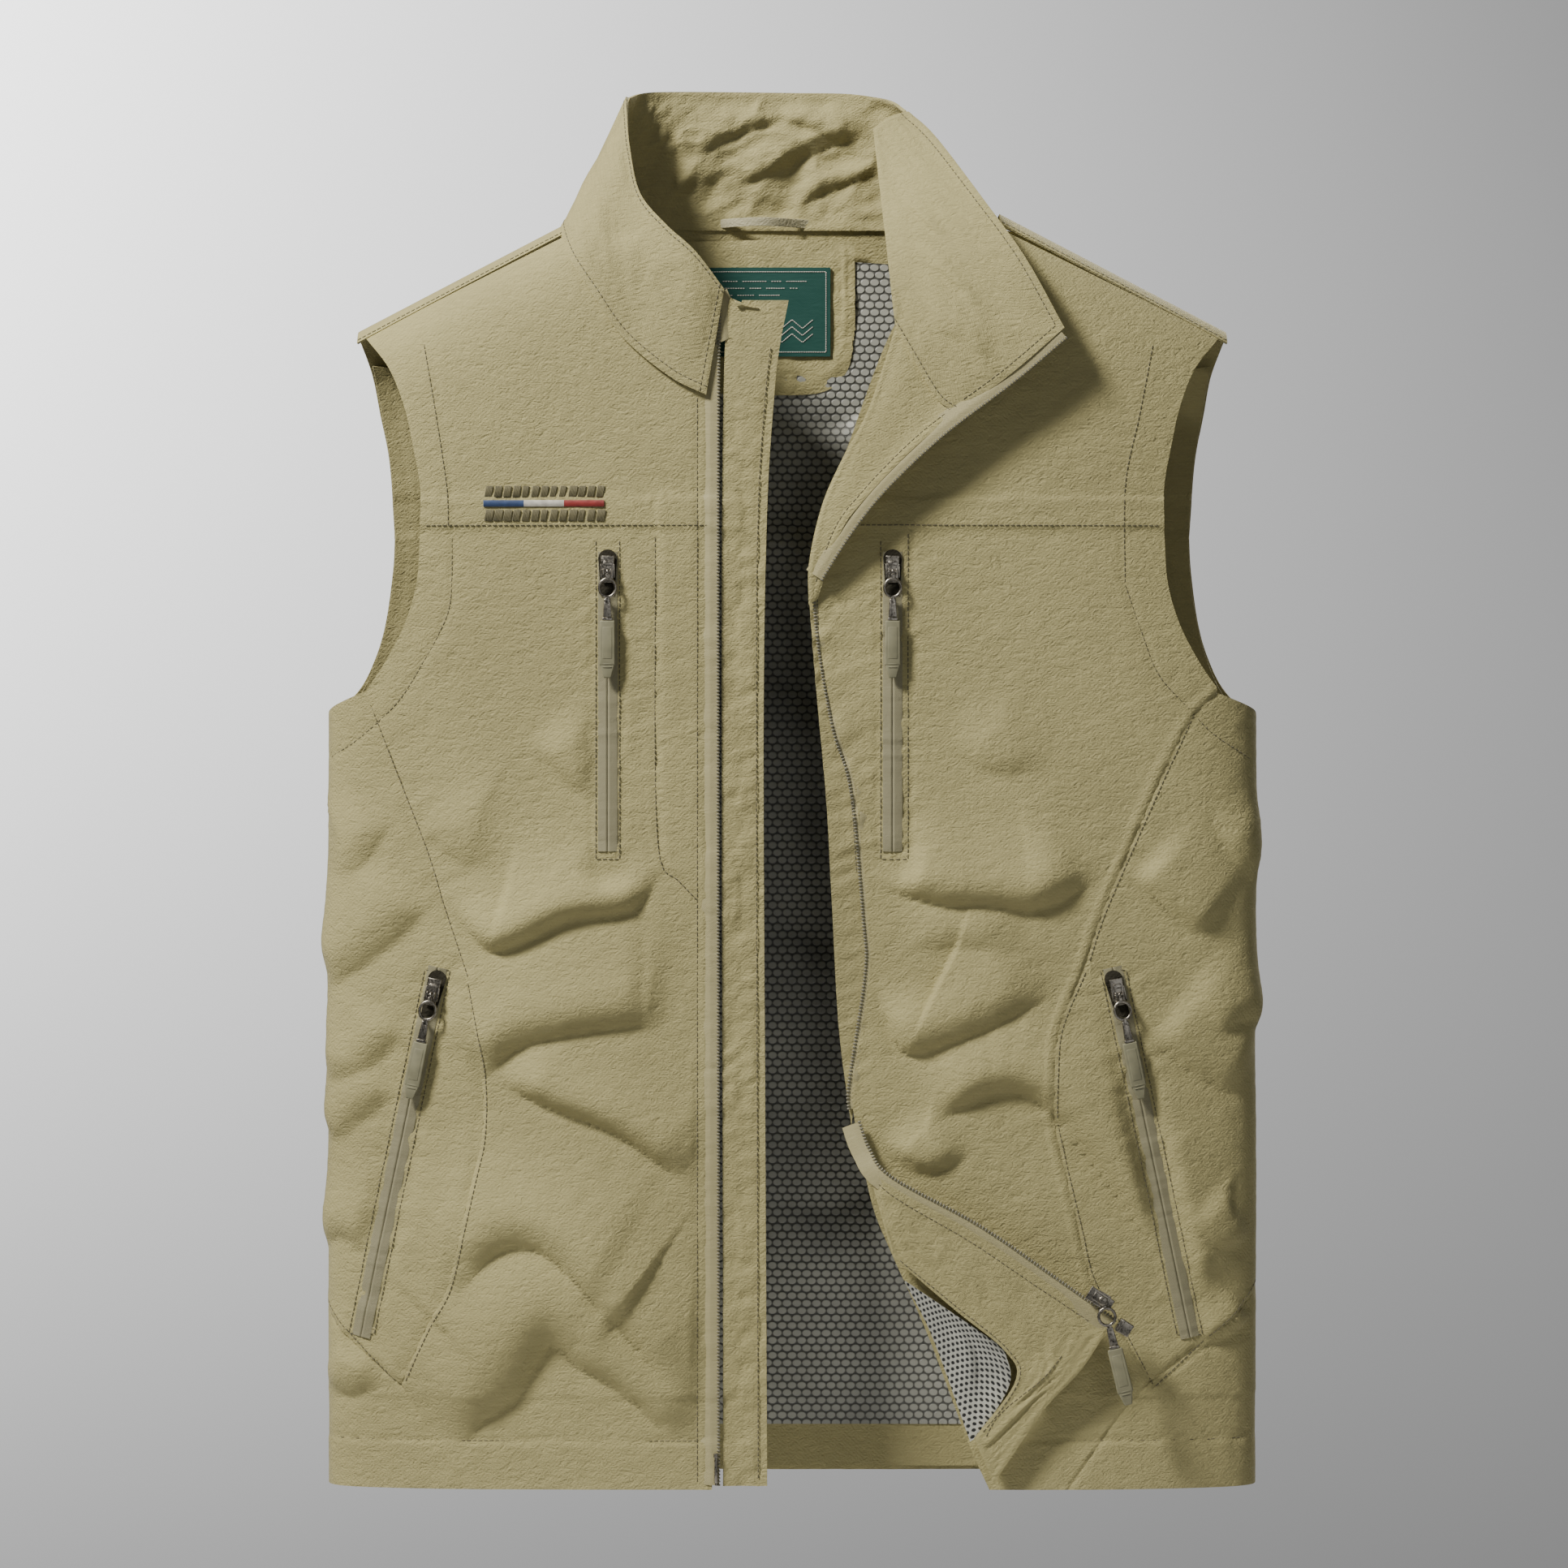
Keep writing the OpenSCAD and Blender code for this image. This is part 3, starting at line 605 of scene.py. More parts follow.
def group(name: str, inputs: dict[str, float], outputs: dict[str, str]) -> tuple:
    """Start a shader node group.

    Args:
        name: The group's name.
        inputs: Names and defaults of its number inputs. A Vector input is always first.
        outputs: Names and socket kinds of its outputs.

    Returns:
        The tree, its wires, and its input and output nodes.
    """
    tree = bpy.data.node_groups.new(name, "ShaderNodeTree")
    tree.interface.new_socket("Vector", in_out="INPUT", socket_type="NodeSocketVector")
    for key, value in inputs.items():
        socket = tree.interface.new_socket(key, in_out="INPUT", socket_type="NodeSocketFloat")
        socket.default_value = value
    for key, kind in outputs.items():
        tree.interface.new_socket(key, in_out="OUTPUT", socket_type=kind)
    return tree, Wires(tree), tree.nodes.new("NodeGroupInput"), tree.nodes.new("NodeGroupOutput")


def weave_group() -> bpy.types.NodeTree:
    """Build the plain weave: a height of crossing threads and a mask of their slubs."""
    name = "Plain weave"
    if name in bpy.data.node_groups:
        return bpy.data.node_groups[name]
    tree, w, start, end = group(name, {"Threads": 2400.0, "Slub": 0.5},
                                {"Height": "NodeSocketFloat", "Slubs": "NodeSocketFloat"})
    split = w.add("ShaderNodeSeparateXYZ")
    w.join(start.outputs["Vector"], split.inputs[0])
    warp = w.maths("SINE", w.maths("MULTIPLY", split.outputs[0], start.outputs["Threads"]))
    weft = w.maths("SINE", w.maths("MULTIPLY", split.outputs[1], start.outputs["Threads"]))
    cross = w.maths("MULTIPLY", warp, weft)
    streak = w.add("ShaderNodeMapping", vector_type="POINT")
    streak.inputs["Scale"].default_value = (90.0, 900.0, 90.0)
    w.join(start.outputs["Vector"], streak.inputs["Vector"])
    slub = w.add("ShaderNodeTexNoise", Detail=2.0, Scale=1.0)
    w.join(streak.outputs[0], slub.inputs["Vector"])
    slubs = w.ramp(slub.outputs[0], 0.35, 0.7, 0.0, 1.0)
    w.join(w.maths("MULTIPLY_ADD", slubs, start.outputs["Slub"], cross), end.inputs["Height"])
    w.join(slubs, end.inputs["Slubs"])
    return tree


def crinkle_group() -> bpy.types.NodeTree:
    """Build the dry hand of washed nylon: a height of tiny creases and a soft mottling."""
    name = "Washed crinkle"
    if name in bpy.data.node_groups:
        return bpy.data.node_groups[name]
    tree, w, start, end = group(name, {"Size": 160.0, "Stretch": 1.8},
                                {"Height": "NodeSocketFloat", "Mottle": "NodeSocketFloat"})
    shape = w.add("ShaderNodeCombineXYZ")
    w.join(start.outputs["Size"], shape.inputs[0])
    w.join(w.maths("MULTIPLY", start.outputs["Size"], start.outputs["Stretch"]), shape.inputs[1])
    w.join(w.maths("MULTIPLY", start.outputs["Size"], start.outputs["Stretch"]), shape.inputs[2])
    scaled = w.add("ShaderNodeVectorMath", operation="MULTIPLY")
    w.join(start.outputs["Vector"], scaled.inputs[0])
    w.join(shape.outputs[0], scaled.inputs[1])
    fine = w.add("ShaderNodeTexNoise", Scale=1.0, Detail=4.0, Roughness=0.62, Distortion=0.4)
    w.join(scaled.outputs[0], fine.inputs["Vector"])
    crease = w.maths("ABSOLUTE", w.maths("SUBTRACT", fine.outputs[0], 0.5))
    w.join(w.maths("MULTIPLY", crease, -1.0), end.inputs["Height"])
    cloud = w.add("ShaderNodeTexNoise", Scale=9.0, Detail=3.0, Roughness=0.55)
    w.join(start.outputs["Vector"], cloud.inputs["Vector"])
    w.join(w.ramp(cloud.outputs[0], 0.3, 0.7, 0.0, 1.0), end.inputs["Mottle"])
    return tree


def eyelet_group() -> bpy.types.NodeTree:
    """Build the knit's eyelets: staggered rows of round openings on the flat cloth."""
    name = "Knit eyelets"
    if name in bpy.data.node_groups:
        return bpy.data.node_groups[name]
    tree, w, start, end = group(name, {"Across": 0.0046, "Up": 0.0036, "Hole": 0.3, "Cells": 0.0},
                                {"Hole": "NodeSocketFloat", "Height": "NodeSocketFloat"})
    split = w.add("ShaderNodeSeparateXYZ")
    w.join(start.outputs["Vector"], split.inputs[0])
    row = w.maths("DIVIDE", split.outputs[1], start.outputs["Up"])
    shift = w.maths("MULTIPLY", w.maths("FLOORED_MODULO", w.maths("FLOOR", row), 2.0), 0.5)
    column = w.maths("ADD", w.maths("DIVIDE", split.outputs[0], start.outputs["Across"]), shift)
    u = w.maths("SUBTRACT", w.maths("FRACT", column), 0.5)
    v = w.maths("SUBTRACT", w.maths("FRACT", row), 0.5)
    round_off = w.maths("SQRT", w.maths("ADD", w.maths("MULTIPLY", u, u), w.maths("MULTIPLY", v, v)))
    node = w.add("ShaderNodeMapRange")
    node.clamp = True
    w.join(round_off, node.inputs["Value"])
    w.join(start.outputs["Hole"], node.inputs["From Min"])
    w.join(w.maths("ADD", start.outputs["Hole"], 0.12), node.inputs["From Max"])
    node.inputs["To Min"].default_value = 1.0
    node.inputs["To Max"].default_value = 0.0
    other = w.maths("SUBTRACT", 1.0, node.outputs["Result"])
    turn = w.maths("MULTIPLY_ADD", w.maths("SUBTRACT", other, node.outputs["Result"]),
                   start.outputs["Cells"], node.outputs["Result"])
    w.join(turn, end.inputs["Hole"])
    w.join(w.maths("MULTIPLY", turn, -1.0), end.inputs["Height"])
    return tree


@dataclass(frozen=True)
class Finish:
    """A named finish that is built once and then shared."""

    name: str
    colour: tuple
    roughness: float

    def material(self) -> bpy.types.Material:
        """Give the finish's material, built on first use."""
        made = bpy.data.materials.get(self.name)
        if made is None:
            made = bpy.data.materials.new(self.name)
            made.use_nodes = True
            made.diffuse_color = (*self.colour[:3], 1)
            wires = Wires(made.node_tree)
            self.dress(wires, made.node_tree.nodes["Principled BSDF"])
        return made

    def dress(self, w: Wires, shader: bpy.types.Node) -> None:
        """Wire the finish's own look."""
        raise NotImplementedError

    def place_group(self, w: Wires, tree: bpy.types.NodeTree, source: bpy.types.NodeSocket,
                    **values: float) -> bpy.types.Node:
        """Place a node group and set its inputs."""
        node = w.add("ShaderNodeGroup")
        node.node_tree = tree
        w.join(source, node.inputs["Vector"])
        for key, value in values.items():
            node.inputs[key].default_value = value
        return node

    def gloss(self, w: Wires, shader: bpy.types.Node, mask: bpy.types.NodeSocket, low: float,
              high: float, under: float = 0.0, over: float = 0.15) -> None:
        """Vary the roughness from under to over its mean, as a mask goes from low to high."""
        rough = w.ramp(mask, low, high, self.roughness - under, self.roughness + over)
        w.join(rough, shader.inputs["Roughness"])

    def bump(self, w: Wires, shader: bpy.types.Node, layers: list) -> None:
        """Stack bumps of (height socket, strength, distance in metres) on the shader."""
        normal = None
        for height, strength, distance in layers:
            node = w.add("ShaderNodeBump", Strength=strength, Distance=distance)
            w.join(height, node.inputs["Height"])
            if normal is not None:
                w.join(normal, node.inputs["Normal"])
            normal = node.outputs[0]
        w.join(normal, shader.inputs["Normal"])


@dataclass(frozen=True)
class WovenCloth(Finish):
    """Plain-woven cloth with mottled dye, fine crinkles and a dry sheen."""

    deep: tuple = (0.1, 0.1, 0.05)
    sheen: float = 0.1
    threads: float = 2600.0
    crinkle: float = 0.55

    def dress(self, w: Wires, shader: bpy.types.Node) -> None:
        """Wire weave, crinkle and mottle."""
        spot = w.add("ShaderNodeTexCoord")
        weave = self.place_group(w, weave_group(), spot.outputs["UV"], Threads=self.threads)
        crinkle = self.place_group(w, crinkle_group(), spot.outputs["Object"])
        base = w.mix(crinkle.outputs["Mottle"], (*self.deep, 1), (*self.colour, 1))
        faded = tuple(min(c * 1.16 + 0.012, 1) for c in self.colour)
        worn = w.mix(w.maths("MULTIPLY", weave.outputs["Slubs"], 0.3), base, (*faded, 1))
        w.join(worn, shader.inputs["Base Color"])
        self.gloss(w, shader, crinkle.outputs["Mottle"], 0.0, 1.0, 0.05, 0.06)
        shader.inputs["Sheen Weight"].default_value = self.sheen
        shader.inputs["Sheen Roughness"].default_value = 0.45
        shader.inputs["Specular IOR Level"].default_value = 0.28
        self.bump(w, shader, [(crinkle.outputs["Height"], self.crinkle, 0.0034),
                              (weave.outputs["Height"], 0.25, 0.00018)])


@dataclass(frozen=True)
class KnitMesh(Finish):
    """Open warp-knit lining with staggered eyelets, whose openings are painted dark as shade."""

    # dark is painted shade: the colour of the eyelet openings, where no cloth behind them is drawn.
    dark: tuple = (0.012, 0.013, 0.012)
    across: float = 0.0044
    up: float = 0.0033
    hole: float = 0.24
    cells: float = 0.0

    def dress(self, w: Wires, shader: bpy.types.Node) -> None:
        """Wire eyelets, yarn ribs, lustre and painted patches of shade."""
        spot = w.add("ShaderNodeTexCoord")
        holes = self.place_group(w, eyelet_group(), spot.outputs["UV"], Across=self.across, Up=self.up,
                                 Hole=self.hole, Cells=self.cells)
        crinkle = self.place_group(w, crinkle_group(), spot.outputs["Object"], Size=70.0, Stretch=1.1)
        yarn = self.place_group(w, weave_group(), spot.outputs["UV"], Threads=5200.0)
        # The mottle darkens the knit to four tenths of its colour in soft patches: painted shade for the
        # play of light over the lining's folds.
        shade = tuple(c * 0.4 for c in self.colour)
        base = w.mix(crinkle.outputs["Mottle"], (*shade, 1), (*self.colour, 1))
        # The eyelet openings take the dark colour, painted shade in place of the cloth seen through them.
        w.join(w.mix(holes.outputs["Hole"], base, (*self.dark, 1)), shader.inputs["Base Color"])
        self.gloss(w, shader, yarn.outputs["Slubs"], 0.0, 1.0, 0.0, 0.2)
        shader.inputs["Sheen Weight"].default_value = 0.3
        self.bump(w, shader, [(holes.outputs["Height"], 0.9, 0.0007),
                              (yarn.outputs["Height"], 0.4, 0.0001)])


@dataclass(frozen=True)
class Metal(Finish):
    """Antique plated casting: dark in its hollows and rubbed bright on its edges."""

    bright: tuple = (0.62, 0.58, 0.50)

    def dress(self, w: Wires, shader: bpy.types.Node) -> None:
        """Wire plating, tarnish and rubbed edges."""
        spot = w.add("ShaderNodeTexCoord")
        cloud = w.noise(spot.outputs["Object"], 900.0, 3.0)
        geometry = w.add("ShaderNodeNewGeometry")
        edge = w.ramp(geometry.outputs["Pointiness"], 0.5, 0.58, 0.0, 0.8)
        rubbed = w.maths("MULTIPLY", w.ramp(cloud, 0.35, 0.65, 0.3, 1.0), edge)
        w.join(w.mix(rubbed, (*self.colour, 1), (*self.bright, 1)), shader.inputs["Base Color"])
        self.gloss(w, shader, cloud, 0.3, 0.7, 0.08, 0.12)
        shader.inputs["Metallic"].default_value = 1.0
        self.bump(w, shader, [(cloud, 0.25, 0.00008)])


@dataclass(frozen=True)
class Rubber(Finish):
    """Matt moulded rubber with a faint grain and handled corners."""

    def dress(self, w: Wires, shader: bpy.types.Node) -> None:
        """Wire grain and handling marks."""
        spot = w.add("ShaderNodeTexCoord")
        grain = w.noise(spot.outputs["Object"], 2600.0, 2.0)
        smear = w.noise(spot.outputs["Object"], 160.0, 2.0)
        light = tuple(min(c * 1.25, 1) for c in self.colour)
        w.join(w.mix(w.ramp(smear, 0.35, 0.7, 0, 1), (*self.colour, 1), (*light, 1)),
               shader.inputs["Base Color"])
        self.gloss(w, shader, smear, 0.3, 0.7)
        self.bump(w, shader, [(grain, 0.3, 0.00012)])


@dataclass(frozen=True)
class Thread(Finish):
    """Lustrous sewing thread."""

    def dress(self, w: Wires, shader: bpy.types.Node) -> None:
        """Wire the ply's twist and its uneven dye."""
        spot = w.add("ShaderNodeTexCoord")
        twist = w.noise(spot.outputs["Object"], 3500.0, 1.0)
        dye = w.noise(spot.outputs["Object"], 300.0, 1.0)
        dull = tuple(c * 0.78 for c in self.colour)
        w.join(w.mix(w.ramp(dye, 0.35, 0.65, 0, 1), (*dull, 1), (*self.colour, 1)),
               shader.inputs["Base Color"])
        self.gloss(w, shader, twist, 0.3, 0.7)
        shader.inputs["Sheen Weight"].default_value = 0.3
        self.bump(w, shader, [(twist, 0.5, 0.0001)])


KHAKI = WovenCloth("Khaki shell cloth", (0.455, 0.405, 0.19), 0.82, deep=(0.38, 0.335, 0.155))
# The facings' cloth is the shell cloth made darker: painted shade for the faces that turn inwards.
KHAKI_INSIDE_SHADED = WovenCloth("Khaki facing cloth with painted shade", (0.40, 0.355, 0.165), 0.84, deep=(0.34, 0.30, 0.14))
# A near-black cloth that paints the shade inside the pocket mouths above the sliders.
MOUTH_SHADE = WovenCloth("Pocket mouth painted shade", (0.035, 0.03, 0.018), 0.9, deep=(0.02, 0.018, 0.01), sheen=0.0)
POCKETING = WovenCloth("Pocketing", (0.33, 0.31, 0.19), 0.88, deep=(0.28, 0.26, 0.16))
TAPE = WovenCloth("Coated zip tape", (0.315, 0.29, 0.175), 0.62, deep=(0.265, 0.245, 0.15), sheen=0.05,
                  threads=5200.0, crinkle=0.18)
FRONT_TAPE = WovenCloth("Front zip tape", (0.44, 0.395, 0.21), 0.6, deep=(0.38, 0.34, 0.18), sheen=0.1,
                        threads=5200.0, crinkle=0.18)
COIL = WovenCloth("Moulded coil", (0.25, 0.235, 0.17), 0.42, deep=(0.21, 0.2, 0.14), sheen=0.0,
                  threads=5200.0, crinkle=0.1)
HANGER = WovenCloth("Hanger tape", (0.44, 0.41, 0.26), 0.75, deep=(0.38, 0.35, 0.22))
LABEL = WovenCloth("Woven label ground", (0.012, 0.075, 0.058), 0.55, deep=(0.009, 0.06, 0.048),
                   sheen=0.15, threads=6000.0, crinkle=0.15)
# Both mesh linings are given a pale colour with painted light in it, brightening the inside of the vest that
# the lamps barely reach.
LINING = KnitMesh("Silver mesh lining", (0.60, 0.60, 0.52), 0.38)
BACK_LINING = KnitMesh("Silver mesh lining face side", (0.62, 0.62, 0.53), 0.34, across=0.0056,
                       up=0.0043, hole=0.39, cells=0.9, dark=(0.05, 0.05, 0.043))
NICKEL = Metal("Antique nickel", (0.13, 0.115, 0.09), 0.32)
TAB = Rubber("Olive rubber", (0.215, 0.205, 0.125), 0.55)
# The khaki thread is darkened below its own colour to paint the shade of its needle holes and seam lines.
THREAD_AND_SEAM_SHADE = Thread("Khaki thread with painted seam shade", (0.17, 0.15, 0.07), 0.6)
PALE_THREAD = Thread("Pale thread", (0.66, 0.63, 0.55), 0.5)
BLUE_THREAD = Thread("Blue thread", (0.035, 0.075, 0.19), 0.5)
RED_THREAD = Thread("Red thread", (0.33, 0.03, 0.025), 0.5)


# ---- Cloth pieces ----------------------------------------------------------------------


def unfold(grid: np.ndarray) -> np.ndarray:
    """Lay a grid of points flat by the lengths of its rows and columns."""
    across = np.concatenate([np.zeros_like(grid[:, :1, 0]),
                             np.cumsum(np.linalg.norm(np.diff(grid, axis=1), axis=-1), axis=1)], 1)
    up = np.concatenate([np.zeros_like(grid[:1, :, 0]),
                         np.cumsum(np.linalg.norm(np.diff(grid, axis=0), axis=-1), axis=0)], 0)
    return np.stack([across, up], -1)


@dataclass(kw_only=True)
class Cloth:
    """One cut of cloth and how it hangs."""

    name: str
    stands_for: tuple[str, ...]
    finish: Finish = KHAKI
    slot: str = "shell_cloth"
    body: str = "vest"
    bends: bool = False
    thick: float = 1.2
    held: str = "hung"
    rests_on: tuple[str, ...] = ()

    def declare(self, obj: bpy.types.Object, smooth_grid: np.ndarray, flat: np.ndarray) -> None:
        wear(obj, self.finish)
        settle(obj, self.body, self.bends)
        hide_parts(*self.stands_for)


@dataclass(kw_only=True)
class BodyPanel(Cloth):
    """A panel that lies on the hung body, between four outlines of [x, z] pairs."""

    left: np.ndarray
    right: np.ndarray
    bottom: np.ndarray
    top: np.ndarray
    skin: Skin
    under: float = 0.0
    step: float = 2.4

    def build(self) -> bpy.types.Object:
        """Build the panel on its skin."""
        routes = [spline(FORM.to_girth(r)) if isinstance(r, list) else r
                  for r in (self.left, self.right, self.bottom, self.top)]
        flat = patch(*routes, self.step)
        rows = flat.reshape(-1, 2)
        points, _ = self.skin.place(rows, -self.under)
        plain = FORM.surface(rows, self.skin.face).reshape(*flat.shape[:2], 3)
        grid = FORM.row(points).reshape(*flat.shape[:2], 3)
        obj = cloth_mesh(self.name, grid, flat * MM, self.thick * MM, -self.skin.face.value)
        self.declare(obj, plain * MM, flat * MM)
        return obj


@dataclass(kw_only=True)
class FreePanel(Cloth):
    """A panel that stands off the body, between four outlines of [x, y, z] points.

    Its folds are in its own flat millimetres, across from its left and up from its bottom.
    """

    left: np.ndarray
    right: np.ndarray
    bottom: np.ndarray
    top: np.ndarray
    seed: int = 1
    broad: float = 0.8
    fine: float = 0.14
    crumple: float = 0.0
    crumple_size: float = 26.0
    edge_rib: float = 0.35
    folds: tuple[Fold, ...] = ()
    turned: float = 1.0
    step: float = 1.8
    grid: np.ndarray | None = None
    normals: np.ndarray | None = None

    def build(self) -> bpy.types.Object:
        """Build the panel between its outlines."""
        plain = patch(*[spline(r) if isinstance(r, list) else r
                        for r in (self.left, self.right, self.bottom, self.top)], self.step)
        flat = unfold(plain)
        rows = flat.reshape(-1, 2)
        noise = Noise(self.seed)
        u, v = rows[:, 0], rows[:, 1]
        lift = self.broad * noise.cloud(u, v, 60.0, 2) + self.fine * noise.cloud(u, v * 1.5, 7.0, 3)
        if self.crumple:
            lift += self.crumple * (noise.creases(u, v * 1.2, self.crumple_size) - 0.6)
        for fold in self.folds:
            lift += fold.height(rows)
        lift = lift.reshape(flat.shape[:2])
        edge = self.from_edges(flat)
        lift = lift * smooth(edge / 12) + self.edge_rib * np.exp(-((edge - 2.2) / 1.6) ** 2)
        self.normals = grid_normals(plain) * self.turned
        self.grid = plain + self.normals * (lift + self.thick / 2)[..., None]
        obj = cloth_mesh(self.name, FORM.row(self.grid), flat * MM, self.thick * MM, self.turned)
        self.declare(obj, plain * MM, flat * MM)
        return obj

    @staticmethod
    def from_edges(flat: np.ndarray) -> np.ndarray:
        """Give each point's distance from the nearest edge, along rows and columns."""
        u, v = flat[..., 0], flat[..., 1]
        return np.minimum(np.minimum(u, u[:, -1:] - u), np.minimum(v, v[-1:] - v))

    def track(self, side: str, inset: float, start: float = 0.0, end: float = 1.0) -> tuple:
        """Give a stitch route a constant distance inside one edge.

        Args:
            side: left, right, bottom or top.
            inset: Distance from the edge, in millimetres.
            start: Fraction of the edge where the route starts.
            end: Fraction of the edge where it ends.

        Returns:
            Points and normals.
        """
        grid, normal = self.grid, self.normals
        if side in ("left", "right"):
            grid, normal = grid.transpose(1, 0, 2), normal.transpose(1, 0, 2)
        if side in ("right", "top"):
            grid, normal = grid[::-1], normal[::-1]
        walked = np.concatenate([np.zeros((1, grid.shape[1])),
                                 np.cumsum(np.linalg.norm(np.diff(grid, axis=0), axis=-1), axis=0)])
        columns = range(int(start * (grid.shape[1] - 1)), int(end * (grid.shape[1] - 1)) + 1)
        at = [np.interp(inset, walked[:, j], np.arange(len(walked))) for j in columns]
        points, normals = [], []
        for j, k in zip(columns, at):
            i = min(int(k), len(grid) - 2)
            f = k - i
            points.append(grid[i, j] * (1 - f) + grid[i + 1, j] * f)
            normals.append(normal[i, j])
        return np.array(points), np.array(normals)


# ---- Small repeated shapes -------------------------------------------------------------


def scatter(name: str, verts: np.ndarray, faces: list, places: np.ndarray,
            frames: np.ndarray) -> bpy.types.Object:
    """Make one mesh of many small copies of a shape.

    Args:
        name: The piece's name.
        verts: The shape's points, in millimetres along its own three axes.
        faces: The shape's faces.
        places: A point for each copy, in millimetres from the hem's middle.
        frames: A 3 x 3 matrix for each copy, whose rows are the shape's axes.

    Returns:
        The new mesh object.
    """
    count = len(verts)
    points = np.einsum("vk,nkj->nvj", verts, frames) + places[:, None]
    made = [tuple(v + count * k for v in face) for k in range(len(places)) for face in faces]
    mesh = bpy.data.meshes.new(name)
    mesh.from_pydata(FORM.row(points.reshape(-1, 3)).tolist(), [], made)
    mesh.polygons.foreach_set("use_smooth", np.ones(len(mesh.polygons), bool))
    mesh.update()
    obj = bpy.data.objects.new(name, mesh)
    bpy.context.collection.objects.link(obj)
    return obj


def capsule(length: float, radius: float, flat: float = 1.0, sides: int = 6) -> tuple:
    """Give the points and faces of a short rounded thread along its first axis."""
    turn = np.linspace(0, 2 * math.pi, sides, endpoint=False)
    ring = np.stack([np.zeros(sides), np.cos(turn) * radius, np.sin(turn) * radius * flat], -1)
    half, shoulder = length / 2, length / 2 - radius * 0.8
    verts = np.vstack([[[-half, 0, 0]], ring - [shoulder, 0, 0], ring + [shoulder, 0, 0],
                       [[half, 0, 0]]])
    faces = []
    for k in range(sides):
        m = (k + 1) % sides
        faces += [(0, 1 + m, 1 + k), (1 + k, 1 + m, 1 + sides + m, 1 + sides + k),
                  (2 * sides + 1, 1 + sides + k, 1 + sides + m)]
    return verts, faces


def paced(points: np.ndarray, normals: np.ndarray, pitch: float) -> tuple:
    """Pace a route out in even steps.

    Returns:
        Places, and a frame for each: along the route, across it and away from the cloth.
    """
    walked = lengths(points)
    count = max(int(walked[-1] / pitch), 1)
    t = (np.arange(count) + 0.5) / count
    place = along(points, t)
    away = along(np.hstack([points, normals]), t)[:, 3:]
    ahead = along(points, np.clip(t + 0.5 / count, 0, 1)) - along(points, np.clip(t - 0.5 / count, 0, 1))
    ahead /= np.maximum(np.linalg.norm(ahead, axis=1, keepdims=True), 1e-9)
    side = np.cross(away, ahead)
    side /= np.maximum(np.linalg.norm(side, axis=1, keepdims=True), 1e-9)
    return place, np.stack([ahead, side, np.cross(ahead, side)], 1)


@dataclass
class Stitching:
    """A group of lockstitch rows in one thread on one body."""

    name: str
    finish: Finish = THREAD_AND_SEAM_SHADE
    body: str = "vest"
    bends: bool = False
    pitch: float = 3.1
    length: float = 2.5
    radius: float = 0.34
    rows: list = field(default_factory=list)

    def on(self, skin: Skin, *routes: list) -> "Stitching":
        """Add rows along [x, z] routes on the body."""
        for route in routes:
            p = spline(FORM.to_girth(route), 3.0)
            self.rows.append(skin.place(p, 0.12))
        return self

    def add(self, *tracks: tuple) -> "Stitching":
        """Add rows along routes of points and normals."""
        self.rows += list(tracks)
        return self

    def build(self) -> bpy.types.Object:
        """Build every stitch of the group."""
        paces = [paced(points, normals, self.pitch) for points, normals in self.rows]
        verts, faces = capsule(self.length, self.radius, 0.8)
        obj = scatter(self.name, verts, faces, np.vstack([p for p, _ in paces]),
                      np.vstack([f for _, f in paces]))
        wear(obj, self.finish)
        settle(obj, self.body, self.bends)
        LOG.info("%s: %d stitches", self.name, sum(len(p) for p, _ in paces))
        return obj


# ---- Outlines of the cut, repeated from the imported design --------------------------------

YOKE_Z = 536.0
ZIP_X = -45.0
FLAP_X = -40.0
W = FORM.half_w
ARMHOLE_LOW = [(-239, 446), (-228, 462), (-217, 483), (-210, 507), (-208, 536)]
ARMHOLE_HIGH = [(-208, 536), (-208, 560), (-212, 583), (-217, 605), (-226, 627), (-240, 645)]
BACK_ARM_LOW = [(-261, 430), (-248, 447), (-239, 465), (-233, 486), (-229, 516), (-228, 536)]
BACK_ARM_HIGH = [(-228, 536), (-231, 578), (-236, 605), (-240, 627), (-246, 646)]
BACK_ARM_ROW = [(-251, 425), (-236, 447), (-227, 470), (-218, 516), (-217, 560), (-222, 600), (-232, 640)]
NECKLINE = [(-45, 614), (-67, 624), (-92, 645), (-108, 669), (-120, 687), (-125, 703)]
SIDE_SEAM_RIGHT = [(-219, 58), (-204, 91), (-191, 116), (-178, 174), (-173, 199), (-174, 234),
                   (-183, 288), (-197, 331), (-206, 361), (-224, 407), (-239, 446)]
HIP_SEAM_RIGHT = [(-183, 0), (-200, 27), (-219, 58)]
SIDE_SEAM_LEFT = [(200, 60), (183, 90), (167, 117), (160, 145), (151, 183), (146, 209), (146, 235),
                  (149, 258), (162, 289), (173, 322), (190, 361), (207, 399), (223, 430), (238, 445)]
HIP_SEAM_LEFT = [(154, 0), (181, 38), (200, 60)]
EDGE_LEFT = [(110, 0), (98, 27), (75, 88), (55, 133), (45, 158), (38, 190), (34, 212), (34, 227),
             (43, 288), (42, 318), (35, 391), (25, 425), (15, 470), (14, 536)]
FACING_EDGE_LEFT = [(33, 203), (26, 258), (22, 330), (19, 385), (14, 440), (9, 502)]
ZIP_EDGE_LEFT = [(34, 212), (34, 227), (43, 288), (42, 318), (35, 391), (25, 425), (17, 470), (14, 502)]
YOKE_EDGE_LEFT = [(14, 536), (29, 577), (57, 650), (84, 679), (118, 705)]
FLAP_EDGE = [(-14, 2), (-15, 195), (-16, 425), (-14, 547), (-10, 611), (-7, 638), (-2, 664)]
HAND_LEAN = math.radians(11.9)
